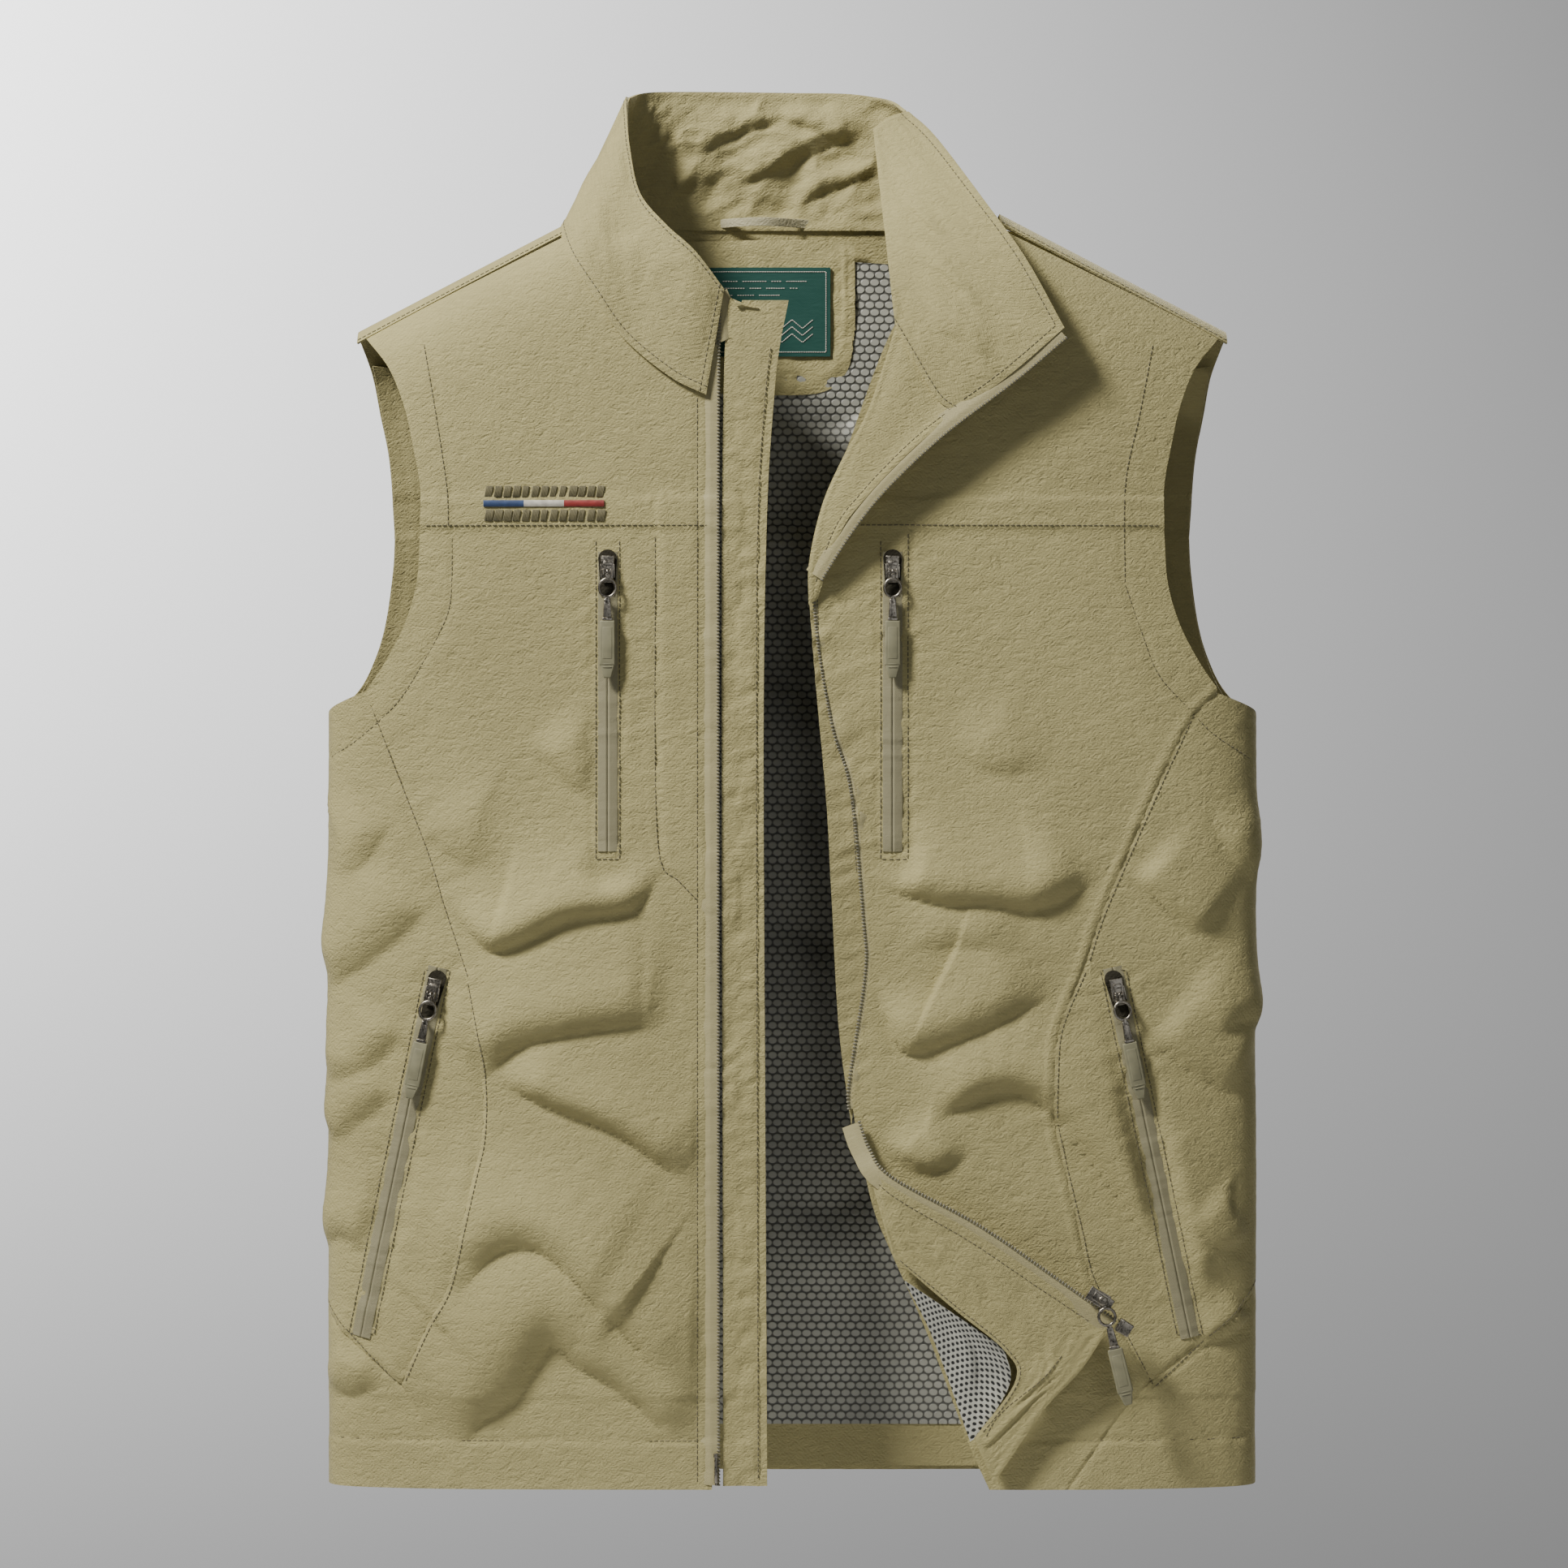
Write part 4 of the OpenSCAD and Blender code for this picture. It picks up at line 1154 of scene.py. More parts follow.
CHEST_X = {-1: -103.0, 1: 56.0}
CHEST_ZIP = (356.0, 524.0)


LINING_CUT = dict(finish=LINING, slot="mesh_lining", under=8.5, thick=0.8, step=4.0)
BAG_CUT = dict(finish=POCKETING, slot="pocketing", under=6.5, thick=0.8, step=5.0)
HAND_STITCH = (86.0, 290.0)
HAND_CALM = (84.0, 292.0)
STITCH_GAP = 7.0


def mirrored(route: list) -> list:
    """Mirror an outline to the other side of the body."""
    return [(-x, z) for x, z in route]


def level(x0: float, x1: float, z: float) -> list:
    """Give a straight level outline."""
    return [(x0, z), (x1, z)]


def upright(x: float, z0: float, z1: float) -> list:
    """Give a straight upright outline."""
    return [(x, z0), (x, z1)]


def oblong(x0: float, x1: float, z0: float, z1: float) -> dict[str, list]:
    """Give the four edges of an upright oblong cut."""
    return dict(left=upright(x0, z0, z1), right=upright(x1, z0, z1), bottom=level(x0, x1, z0),
                top=level(x0, x1, z1))


def flat_route(route: list, step: float = 3.0) -> np.ndarray:
    """Round an [x, z] outline on the body's girth."""
    return spline(FORM.to_girth(route), step)


def kept_round(*routes: list) -> np.ndarray:
    """Join outlines that meet at corners into one, in girth."""
    return joined(*[flat_route(r, 2.0) for r in routes])


def fold(height: float, reach: float, *points: Pair, ends: float = 0.22) -> Fold:
    """Give a fold of one height and reach along [x, z] points."""
    return Fold([(x, z, height, reach) for x, z in points], ends)


def seam(route: list, *shape: float, lap: float = 0.0, lap_w: float = 6.0) -> Seam:
    """Give a seam of a sink, pucker, pitch and reach along an [x, z] route."""
    return Seam(flat_route(route), *shape, lap, lap_w)


def hand_zip(side: int, z: float) -> Pair:
    """Give the middle of a hand pocket's zip at a height."""
    top_x, top_z = (-200.0, 282.0) if side < 0 else (181.0, 282.0)
    return top_x + side * (top_z - z) * math.tan(HAND_LEAN), z


def hand_zip_frame(side: int) -> list[list]:
    """Give the stitch rows that frame a hand pocket's zip."""
    foot, head = (hand_zip(side, z) for z in HAND_STITCH)
    rows = [[(x + off, z) for x, z in (foot, head)] for off in (-7.2, 7.2)]
    return rows + [level(x - STITCH_GAP, x + STITCH_GAP, z) for x, z in (head, foot)]


LAPEL_COVER = np.array([(10, 505), (50, 545), (92, 590), (152, 640), (130, 690), (80, 735),
                        (57, 650)], float)
CORNER_COVER = np.array([(36, 190), (56, 178), (118, 142), (180, 98), (160, 66), (112, 2),
                         (99, 27)], float)


def zip_lines(side: int) -> list[tuple[np.ndarray, float]]:
    """Give the pocket zips of one side, where the cloth is held flat."""
    chest = flat_route(upright(CHEST_X[side], CHEST_ZIP[0] - 6, CHEST_ZIP[1] + 10))
    hand = flat_route([hand_zip(side, z) for z in HAND_CALM])
    return [(chest, 16.0), (hand, 14.0)]


def zip_puckers(side: int) -> list[Seam]:
    """Gather the cloth in short puckers along both edges of the pocket zips."""
    made = []
    for off in (-8.5, 8.5):
        made.append(seam(upright(CHEST_X[side] + off, *CHEST_ZIP), 0.5, 0.7, 7.0, 6.5))
        beside = [(x + off, z) for x, z in (hand_zip(side, z) for z in HAND_CALM)]
        made.append(seam(beside, 0.5, 0.75, 10.0, 8.0))
    return made


RIGHT_FOLDS = [
    Fold([(-196, 332, 5, 10), (-173, 303, 7, 10), (-155, 303, 8, 11), (-125, 317, 8, 11),
          (-97, 321, 7, 10), (-84, 328, 6, 9), (-70, 352, 4, 8)]),
    fold(7, 15, (-176, 226), (-155, 245), (-133, 252), (-92, 258), (-70, 256)),
    fold(7, 10, (-168, 229), (-133, 212), (-100, 199), (-70, 179), (-58, 168)),
    Fold([(-192, 100, 4, 14), (-171, 127, 8, 18), (-153, 136, 9, 18), (-133, 129, 9, 17),
          (-110, 106, 8, 15), (-85, 78, 7, 14), (-60, 48, 5, 12)]),
    Fold([(-190, 20, 6, 18), (-173, 37, 8, 22), (-153, 53, 10, 26), (-135, 80, 11, 26),
          (-126, 75, 10, 22), (-118, 68, 9, 16), (-97, 56, 7, 12), (-77, 38, 6, 12),
          (-60, 22, 4, 10)], 0.16),
    fold(4, 12, (-150, 420), (-128, 396), (-112, 380), ends=0.4),
    fold(3, 16, (-215, 380), (-190, 352), (-160, 345), ends=0.4),
    fold(4, 12, (-262, 190), (-241, 207), (-222, 222)),
    fold(4, 12, (-266, 225), (-236, 237), (-216, 257)),
    fold(5, 18, (-266, 276), (-224, 305), (-201, 328)),
    fold(5, 14, (-275, 60), (-250, 52), (-225, 60), ends=0.35),
    fold(4, 12, (-280, 128), (-255, 140), (-236, 128), ends=0.35),
    fold(4, 14, (-262, 340), (-240, 350), (-222, 378), ends=0.4),
]

LEFT_FOLDS = [
    Fold([(43, 340, 6, 11), (60, 333, 8, 12), (88, 326, 8, 13), (109, 326, 7, 13), (135, 323, 8, 13),
          (156, 332, 8, 14), (176, 344, 6, 14)]),
    Fold([(46, 285, 3, 10), (54, 258, 7, 12), (65, 243, 8, 14), (88, 249, 8, 15), (119, 262, 7, 16),
          (152, 280, 5, 16)]),
    Fold([(76, 203, 4, 9), (98, 215, 7, 11), (119, 222, 8, 13), (141, 213, 9, 15), (169, 181, 9, 16),
          (197, 142, 8, 15), (225, 97, 5, 12)], 0.14),
    fold(5, 12, (46, 198), (60, 181), (77, 176), (104, 190), ends=0.3),
    fold(5, 12, (188, 343), (210, 323), (232, 306)),
    fold(5, 18, (198, 253), (225, 233), (254, 218)),
    fold(4, 12, (220, 150), (243, 133), (262, 142)),
    fold(4, 8, (220, 76), (243, 83), (262, 94)),
    fold(3, 14, (80, 420), (112, 400), (150, 404), ends=0.4),
    fold(3, 12, (60, 300), (95, 303), (130, 300), ends=0.4),
    fold(4, 12, (236, 250), (256, 262), (276, 250), ends=0.35),
    fold(4, 14, (232, 380), (248, 350), (270, 332), ends=0.4),
]

BACK_FOLDS = [
    fold(6, 16, (-190, 240), (-110, 216), (-20, 222), (60, 210), ends=0.3),
    fold(6, 18, (190, 265), (110, 236), (40, 232), (-30, 250), ends=0.3),
    fold(5, 15, (-210, 130), (-120, 150), (-40, 128), (60, 140), ends=0.3),
    fold(6, 16, (200, 120), (130, 96), (50, 110), (-40, 84), ends=0.3),
    fold(4, 16, (-180, 360), (-100, 330), (-10, 340), ends=0.35),
    fold(4, 18, (190, 370), (110, 345), (30, 352), ends=0.35),
    fold(4, 20, (-160, 60), (-80, 40), (20, 52), ends=0.35),
]

RIGHT_SEAMS = [
    seam([(-212, YOKE_Z), (ZIP_X, YOKE_Z)], 0.6, 0.12, 11.0, 6.0, lap=0.8, lap_w=60),
    seam(SIDE_SEAM_RIGHT, 0.6, 0.45, 11.0, 11.0, lap=-0.5),
    seam([(-262, 109), (-219, 58)], 0.6, 0.3, 12.0, 9.0, lap=0.5),
    seam(HIP_SEAM_RIGHT, 0.6, 0.3, 12.0, 9.0),
    seam(upright(-53, 2, 612), 0.45, 0.22, 6.5, 5.0),
    seam(upright(-47.2, 2, 612), 0.45, 0.12, 5.0, 2.0),
    seam(upright(-42.5, 2, 640), 0.0, 0.15, 7.0, 3.0),
    seam([(-30, 4), (-30, 600)], 0.0, 1.0, 10.0, 9.0),
    seam([(-19, 4), (-20, 425), (-19, 547), (-13, 640)], 0.4, 0.8, 6.5, 5.0),
    seam([(-75, 536), (-75, 400), (-72, 352), (-63, 342), (-51, 331)], 0.7, 0.35, 8.0, 7.0,
         lap=0.7, lap_w=24),
    seam(level(-SIDE, ZIP_X, 27), 0.6, 0.3, 13.0, 8.0, lap=-0.5, lap_w=30),
    seam([(-190, 535), (-191, 496), (-198, 477), (-207, 461), (-219, 442), (-233, 428),
          (-248, 416), (-260, 409)], 0.5, 0.2, 12.0, 6.0),
    seam([(-203, 640), (-196, 600), (-190, 560), (-190, 536)], 0.25, 0.12, 12.0, 6.0),
    seam([(-225, 300), (-215, 200), (-240, 100)], 0.0, 0.5, 15.0, 22.0),
]

LEFT_SEAMS = [
    seam([(14, YOKE_Z), (212, YOKE_Z)], 0.6, 0.12, 11.0, 6.0, lap=0.8, lap_w=60),
    seam(SIDE_SEAM_LEFT, 0.6, 0.45, 11.0, 11.0, lap=0.5),
    seam([(262, 120), (200, 60)], 0.6, 0.3, 12.0, 9.0, lap=-0.5),
    seam(HIP_SEAM_LEFT, 0.6, 0.3, 12.0, 9.0),
    seam(upright(66.5, 352, 536), 0.5, 0.3, 8.0, 6.0, lap=0.4, lap_w=14),
    seam([(33, 345), (30, 391), (22, 425), (14, 470), (13, 530)], 0.4, 0.9, 9.0, 12.0),
    seam([(40, 352), (36, 400), (24, 440), (20, 536)], 0.0, 0.8, 12.0, 14.0),
    seam([(36, 230), (30, 288), (28, 330), (20, 400), (13, 450)], 0.0, 0.8, 8.0, 6.0),
    seam(level(95, SIDE, 27), 0.6, 0.3, 13.0, 8.0, lap=-0.5, lap_w=30),
    seam([(186, 506), (195, 480), (205, 455), (223, 435), (237, 421), (257, 408)], 0.5, 0.2, 12.0, 6.0),
    seam([(184, 536), (185, 506)], 0.5, 0.2, 12.0, 6.0),
    seam([(34, 206), (45, 180), (76, 120)], 0.0, 0.5, 10.0, 12.0),
]

BACK_SEAMS = [
    seam([(-228, YOKE_Z), (228, YOKE_Z)], 0.6, 0.15, 12.0, 7.0, lap=0.8, lap_w=30),
    seam(level(-SIDE, SIDE, 27), 0.6, 0.3, 13.0, 8.0, lap=-0.5, lap_w=30),
    seam(BACK_ARM_ROW, 0.4, 0.2, 12.0, 6.0),
    seam(mirrored(BACK_ARM_ROW), 0.4, 0.2, 12.0, 6.0),
]

RIGHT = Skin(Face.FRONT, Relief(Noise(11), RIGHT_FOLDS, RIGHT_SEAMS + zip_puckers(-1), zip_lines(-1)
                                + [(flat_route(upright(-45, 0, 660)), 10.0)], broad=1.0))
LEFT = Skin(Face.FRONT, Relief(Noise(23), LEFT_FOLDS, LEFT_SEAMS + zip_puckers(1), zip_lines(1),
                               [FORM.to_girth(LAPEL_COVER), FORM.to_girth(CORNER_COVER)], broad=1.0))
BACK = Skin(Face.BACK, Relief(Noise(37), BACK_FOLDS, BACK_SEAMS, broad=1.6))
CALM_FRONT = Skin(Face.FRONT, Relief(Noise(41), broad=0.5, fine=0.1))
LINED_BACK = Skin(Face.BACK, Relief(Noise(43), [
    fold(-7, 16, (80, 640), (30, 600), (-10, 606), (-60, 630), ends=0.3),
    fold(-7, 14, (70, 560), (30, 530), (-10, 545), (-60, 520), ends=0.3),
    fold(-6, 18, (60, 470), (20, 440), (-30, 470), ends=0.4),
    fold(-5, 20, (90, 330), (30, 300), (-40, 330), ends=0.4),
    fold(-5, 22, (80, 200), (30, 150), (-30, 160), ends=0.4)], broad=2.0, fine=0.1))


# ---- Sub-assemblies in cloth -----------------------------------------------------------


def pocket_bag(word: str, pocket: str, body: str, reach: tuple) -> None:
    """Hang the bag of a chest or hand pocket between [x0, x1, z0, z1], inside a front."""
    BodyPanel(name=f"{word}_{pocket}_pocket_bag", stands_for=(f"{pocket}_pocket_bag_{word}",),
              body=body, skin=CALM_FRONT, **BAG_CUT, **oblong(*reach)).build()


@dataclass
class RightFront:
    """The wearer's right front, which swings open on the fold line beside the chest."""

    flap_root: float = FLAP_X + 1.4
    flap_top: float = 664.0

    def build(self) -> None:
        """Build the panels, the placket and the wind flap."""
        common = dict(skin=RIGHT)
        BodyPanel(name="right_front_yoke", stands_for=("front_yoke_right", "front_yoke_right_outer"),
                  left=ARMHOLE_HIGH, right=upright(ZIP_X, YOKE_Z, 614), bottom=level(-208, ZIP_X, YOKE_Z),
                  top=kept_round([(-240, 645), (-125, 703)], NECKLINE[::-1]), bends=True, **common).build()
        BodyPanel(name="right_chest_panel", stands_for=("chest_panel_right", "chest_panel_right_outer"),
                  left=kept_round(HIP_SEAM_RIGHT, SIDE_SEAM_RIGHT, ARMHOLE_LOW),
                  right=upright(ZIP_X, 0, YOKE_Z), bottom=level(-183, ZIP_X, 0),
                  top=level(-208, ZIP_X, YOKE_Z), step=2.1, bends=True, **common).build()
        BodyPanel(name="right_side_panel", stands_for=("side_panel_right",),
                  left=upright(-W, 109, 430), right=SIDE_SEAM_RIGHT, bottom=[(-W, 109), (-219, 58)],
                  top=[(-W, 430), (-239, 446)], **common).build()
        BodyPanel(name="right_hip_panel", stands_for=("hip_panel_right",),
                  left=upright(-W, 0, 109), right=HIP_SEAM_RIGHT, bottom=level(-W, -183, 0),
                  top=[(-W, 109), (-219, 58)], **common).build()
        BodyPanel(name="wind_flap_cloth", stands_for=("wind_flap",), body="wind_flap",
                  left=[(self.flap_root, 2), (self.flap_root, 600), (-28, self.flap_top)],
                  right=FLAP_EDGE, bottom=level(self.flap_root, -14, 2),
                  top=level(-28, -2, self.flap_top), under=0.6, step=1.8, **common).build()
        BodyPanel(name="right_front_lining", stands_for=("front_lining_right",), body="front_right",
                  left=upright(-119, 28, 640), right=upright(-52, 28, 600),
                  bottom=level(-119, -52, 28), top=[(-119, 640), (-52, 600)], skin=CALM_FRONT,
                  **LINING_CUT).build()
        pocket_bag("right", "chest", "front_right", (-121, -52, 345, 528))
        pocket_bag("right", "hand", "vest", (-228, -140, 75, 300))

    def stitch(self, collar: FreePanel) -> None:
        """Sew the seams of the right front."""
        vest = Stitching("right_side_stitching").on(
            RIGHT, [(-237, 440), (-222, 402), (-204, 356), (-195, 327), (-181, 286)],
            [(-181, 283), (-172, 236), (-171, 200), (-176, 172), (-189, 115), (-202, 90), (-216, 60)],
            [(-261, 104), (-240, 78), (-222, 60)], [(-190, 535), (-191, 496), (-198, 477), (-207, 461),
                                                    (-219, 442), (-233, 428), (-248, 416), (-260, 409)],
            [(-206, 640), (-199, 600), (-193, 560), (-192, 538)], level(-261, -176, 27))
        vest.on(RIGHT, *hand_zip_frame(-1)).build()
        front = Stitching("right_front_stitching", body="front_right")
        front.on(RIGHT, upright(-53, 4, 610), upright(-47.2, 4, 612),
                 [(-76.5, 532), (-76.5, 400), (-73.5, 351), (-64, 340.5), (-53, 329)],
                 upright(CHEST_X[-1] - 6.6, 352, 530), upright(CHEST_X[-1] + 6.6, 352, 530),
                 level(CHEST_X[-1] - 6.6, CHEST_X[-1] + 6.6, 352)).build()
        across = Stitching("right_crossing_stitching", bends=True)
        across.on(RIGHT, level(-205, ZIP_X - 1, 538.5), level(-176, ZIP_X - 1, 27))
        across.add(collar.track("top", 4.5), collar.track("bottom", 2.5), collar.track("left", 4.0)).build()
        flap = Stitching("wind_flap_stitching", body="wind_flap")
        flap.on(Skin(Face.FRONT, RIGHT.relief), [(-19, 6), (-20, 425), (-19, 547), (-15, 611), (-12, 638)])
        flap.build()


@dataclass
class LeftFront:
    """The wearer's left front, with its lapel rolled back and its lower corner turned out."""

    leaf: FreePanel | None = None
    lapel: FreePanel | None = None
    corner: FreePanel | None = None

    def build(self) -> None:
        """Build the panels, the rolled lapel and the turned corner."""
        common = dict(skin=LEFT)
        BodyPanel(name="left_front_yoke", stands_for=("front_yoke_left",), left=YOKE_EDGE_LEFT,
                  right=mirrored(ARMHOLE_HIGH), bottom=level(14, 208, YOKE_Z), top=[(118, 705), (240, 645)],
                  **common).build()
        BodyPanel(name="left_chest_panel", stands_for=("chest_panel_left",), left=EDGE_LEFT,
                  right=kept_round(HIP_SEAM_LEFT, SIDE_SEAM_LEFT, mirrored(ARMHOLE_LOW)),
                  bottom=level(110, 154, 0), top=level(14, 208, YOKE_Z), step=2.1, **common).build()
        BodyPanel(name="left_side_panel", stands_for=("side_panel_left",), left=SIDE_SEAM_LEFT,
                  right=upright(W, 120, 430), bottom=[(200, 60), (W, 120)], top=[(238, 445), (W, 430)],
                  **common).build()
        BodyPanel(name="left_hip_panel", stands_for=("hip_panel_left",), left=HIP_SEAM_LEFT,
                  right=upright(W, 0, 120), bottom=level(154, W, 0), top=[(200, 60), (W, 120)],
                  **common).build()
        BodyPanel(name="left_front_facing", stands_for=("front_facing_left",), finish=KHAKI_INSIDE_SHADED,
                  left=FACING_EDGE_LEFT, right=ZIP_EDGE_LEFT, bottom=[(33, 203), (34, 212)],
                  top=[(9, 502), (14, 502)], skin=LEFT, under=1.6, thick=1.0, step=1.8).build()
        BodyPanel(name="left_front_lining", stands_for=("front_lining_left",),
                  left=[(112, 28), (60, 133), (48, 212), (52, 318), (40, 425), (30, 536)],
                  right=[(232, 28), (236, 300), (230, 430), (204, 500), (200, 536)],
                  bottom=level(112, 232, 28), top=level(30, 200, 536), skin=CALM_FRONT,
                  **LINING_CUT).build()
        pocket_bag("left", "chest", "vest", (50, 190, 345, 528))
        pocket_bag("left", "hand", "vest", (120, 228, 75, 300))
        self.build_lapel()
        self.build_corner()

    def build_lapel(self) -> None:
        """Build the collar's leaf and the front facing that the roll turns outwards."""
        roll = [(57, -46.5, 650), (54, -38.5, 680), (50, -18.5, 724), (46, -1.5, 765)]
        self.leaf = FreePanel(
            name="collar_leaf_left", stands_for=("collar_left_leaf",), left=roll,
            right=joined(spline([(92, -51, 600), (122, -53.5, 622), (151, -53, 647)]),
                         spline([(151, -53, 647), (130, -48, 686), (106, -34.5, 722), (81, -11, 759),
                                 (66, 2, 775)])),
            bottom=[(57, -46.5, 650), (66, -49.5, 632), (80, -51, 608), (92, -51, 600)],
            top=[(46, -1.5, 765), (56, -0.5, 772), (66, 2, 775)], thick=1.6, seed=5, broad=1.4, fine=0.2,
            crumple=0.5, folds=(fold(2.2, 8, (18, 60), (36, 50), (62, 44), ends=0.4),
                                fold(1.8, 6, (30, 18), (50, 30), (74, 30), ends=0.4),
                                fold(1.6, 6, (6, 96), (22, 84), (40, 80), ends=0.4)))
        self.leaf.build()
        self.lapel = FreePanel(
            name="lapel_facing", stands_for=("lapel_facing_left",),
            left=[(9, -40, 494), (9.5, -43, 518), (17, -46, 550), (29, -48, 577), (43, -48.5, 604),
                  (59, -45.4, 653)],
            right=[(14, -40, 497), (27, -48, 534), (42, -51, 554), (58, -52.5, 571), (74, -53, 586),
                   (93, -51.8, 601)],
            bottom=[(9, -40, 494), (14, -40, 497)],
            top=[(59, -45.4, 653), (69, -48, 634), (83, -49.4, 610), (93, -51.8, 601)], seed=6, broad=0.5)
        self.lapel.build()

    def build_corner(self) -> None:
        """Build the facing and the mesh that show on the turned-out corner."""
        inner = [(56, -47, 131), (90, -47, 102), (118, -47, 79), (124, -47, 62), (101, -46.5, 30)]
        outer = joined(spline([(40, -45, 188), (53, -49.5, 173), (102, -51.5, 146), (143, -51.5, 118),
                               (177, -51, 94)]),
                       spline([(177, -51, 94), (160, -48.5, 68), (140, -47, 46), (112, -46, 5)]))
        self.corner = FreePanel(
            name="corner_facing", stands_for=("corner_facing_left",),
            left=inner[0:1] + [outer[0]], right=[inner[-1], tuple(outer[-1])], bottom=spline(inner),
            top=outer, seed=7, broad=1.2, crumple=0.9, crumple_size=20.0, fine=0.2)
        self.corner.build()
        FreePanel(name="corner_mesh", stands_for=("corner_mesh_left",), finish=LINING, slot="mesh_lining",
                  left=[(99, -44.6, 28), (78, -44.6, 86), (62, -44.6, 118)],
                  right=[(104, -44.6, 31), (121, -44.6, 60), (118, -44.6, 80)],
                  bottom=[(99, -44.6, 28), (104, -44.6, 31)], top=[(62, -44.6, 118), (118, -44.6, 80)],
                  seed=8, thick=0.8, broad=1.6, fine=0.1, edge_rib=0.0,
                  folds=(fold(1.6, 7, (12, 20), (30, 42), (36, 70), ends=0.4),)).build()

    def stitch(self) -> None:
        """Sew the seams of the left front."""
        rows = Stitching("left_front_stitching").on(
            LEFT, level(16, 205, 538.5), level(101, 178, 27), level(182, 261, 27),
            [(202, 58), (185, 90), (169, 117), (162, 145), (153, 183), (148, 209), (148, 235),
             (151, 258), (164, 289)], [(166, 295), (175, 322), (192, 361), (209, 399), (225, 433)],
            [(203, 57), (230, 82), (261, 115)], [(186, 506), (195, 480), (205, 455), (223, 435),
                                                 (237, 421), (257, 408)],
            [(186, 506), (186, 560), (194, 600), (202, 640)], upright(64.6, 352, 534),
            [(36, 345), (32, 391), (23, 425), (15, 470), (14, 532)],
            upright(CHEST_X[1] - 6.6, 352, 530), level(CHEST_X[1] - 6.6, 64.6, 352))
        rows.on(LEFT, *hand_zip_frame(1))
        rows.add(self.leaf.track("right", 5.0, 0.04), self.leaf.track("bottom", 3.0),
                 self.lapel.track("right", 4.0, 0.08), self.lapel.track("top", 3.0),
                 self.corner.track("top", 7.0, 0.04, 0.58), self.corner.track("top", 20.0, 0.66, 0.96),
                 self.corner.track("bottom", 2.0, 0.04, 0.96))
        rows.build()


@dataclass
class Back:
    """The back of the vest with its lining and facings."""

    facing: FreePanel | None = None

    def build(self) -> None:
        """Build the back's cloth from the outside in."""
        side = kept_round([(-W, 0), (-W, 200), (-W, 400)], [(-W, 400), *BACK_ARM_LOW[:1]], BACK_ARM_LOW)
        other = side * [-1, 1]
        edge = [(-236, 27), (-236, 400), (-230, 445), (-220, 486), (-212, 536), (-206, 630)]
        BodyPanel(name="back_body", stands_for=("back_panel",), skin=BACK, left=side,
                  right=other, bottom=level(-W, W, 0), top=level(-228, 228, YOKE_Z), step=3.2).build()
        BodyPanel(name="back_shoulder_yoke", stands_for=("back_yoke",), skin=BACK,
                  left=BACK_ARM_HIGH, right=mirrored(BACK_ARM_HIGH), bottom=level(-228, 228, YOKE_Z),
                  top=kept_round([(-246, 646), (-125, 709)], [(-125, 709), (-115, 711), (-60, 715), (0, 716),
                                                              (60, 715), (115, 711), (125, 709)],
                                 [(125, 709), (246, 646)]), step=3.0).build()
        BodyPanel(name="back_mesh_lining", stands_for=("back_lining",), finish=BACK_LINING,
                  slot="mesh_lining", skin=LINED_BACK, under=6.4, thick=0.8, step=3.0,
                  left=edge, right=mirrored(edge),
                  bottom=level(-236, 236, 27),
                  top=[(-206, 630), (-120, 682), (0, 694), (120, 682), (206, 630)]).build()
        BodyPanel(name="back_hem_facing", stands_for=("back_hem_band",), finish=KHAKI_INSIDE_SHADED,
                  skin=LINED_BACK, under=5.6, thick=1.0, step=3.0, **oblong(-244, 244, 3, 30)).build()
        for side_name, turn in (("right", 1), ("left", -1)):
            outer = [(-256, 432), (-245, 450), (-238, 467), (-232.5, 488), (-228.6, 516), (-228.4, 547),
                     (-231, 578), (-235.5, 605), (-241, 634)]
            inner = [(-244, 420), (-231, 440), (-221, 461), (-213, 486), (-209, 516), (-209, 547),
                     (-211, 578), (-216, 605), (-222, 632)]
            near_side, far_side = (outer, inner) if turn > 0 else (mirrored(inner), mirrored(outer))
            BodyPanel(name=f"{side_name}_armhole_facing", stands_for=(f"armhole_facing_{side_name}",),
                      finish=KHAKI_INSIDE_SHADED, skin=BACK, under=4.0, thick=1.0, left=near_side, right=far_side,
                      bottom=[near_side[0], far_side[0]], top=[near_side[-1], far_side[-1]]).build()
        neck_skin = Skin(Face.BACK, Relief(Noise(51), [
            fold(-2.2, 7, (-60, 690), (-40, 682), (-10, 686), (20, 678), ends=0.3),
            fold(-1.8, 5, (-62, 660), (-56, 640), (-44, 626), ends=0.3),
            fold(-1.6, 5, (30, 690), (26, 660), (24, 632), ends=0.3)],
            [seam([(-60, 700), (-60, 655), (-54, 634), (-44, 626), (-15, 623), (14, 626),
                   (24, 634), (30, 655), (30, 700)], 0.4, 0.9, 7.0, 7.0)],
            covers=[FORM.to_girth(np.array([(-54, 635), (26, 635), (26, 692), (-54, 692)], float))],
            broad=0.8, fine=0.2, crumple=-0.6))
        BodyPanel(name="neck_facing", stands_for=("back_neck_facing",), skin=neck_skin,
                  under=8.0, thick=1.0, left=[(-66, 655), (-66, 690), (-66, 706)],
                  right=[(36, 655), (36, 690), (36, 706)],
                  bottom=[(-66, 655), (-62, 632), (-48, 619), (-15, 617), (18, 619), (32, 632), (36, 655)],
                  top=level(-66, 36, 706), step=1.6).build()

    def stitch(self) -> None:
        """Sew the back's seams."""
        Stitching("back_stitching").on(
            BACK, level(-226, 226, 539), level(-260, 260, 27), BACK_ARM_ROW,
            mirrored(BACK_ARM_ROW)).build()


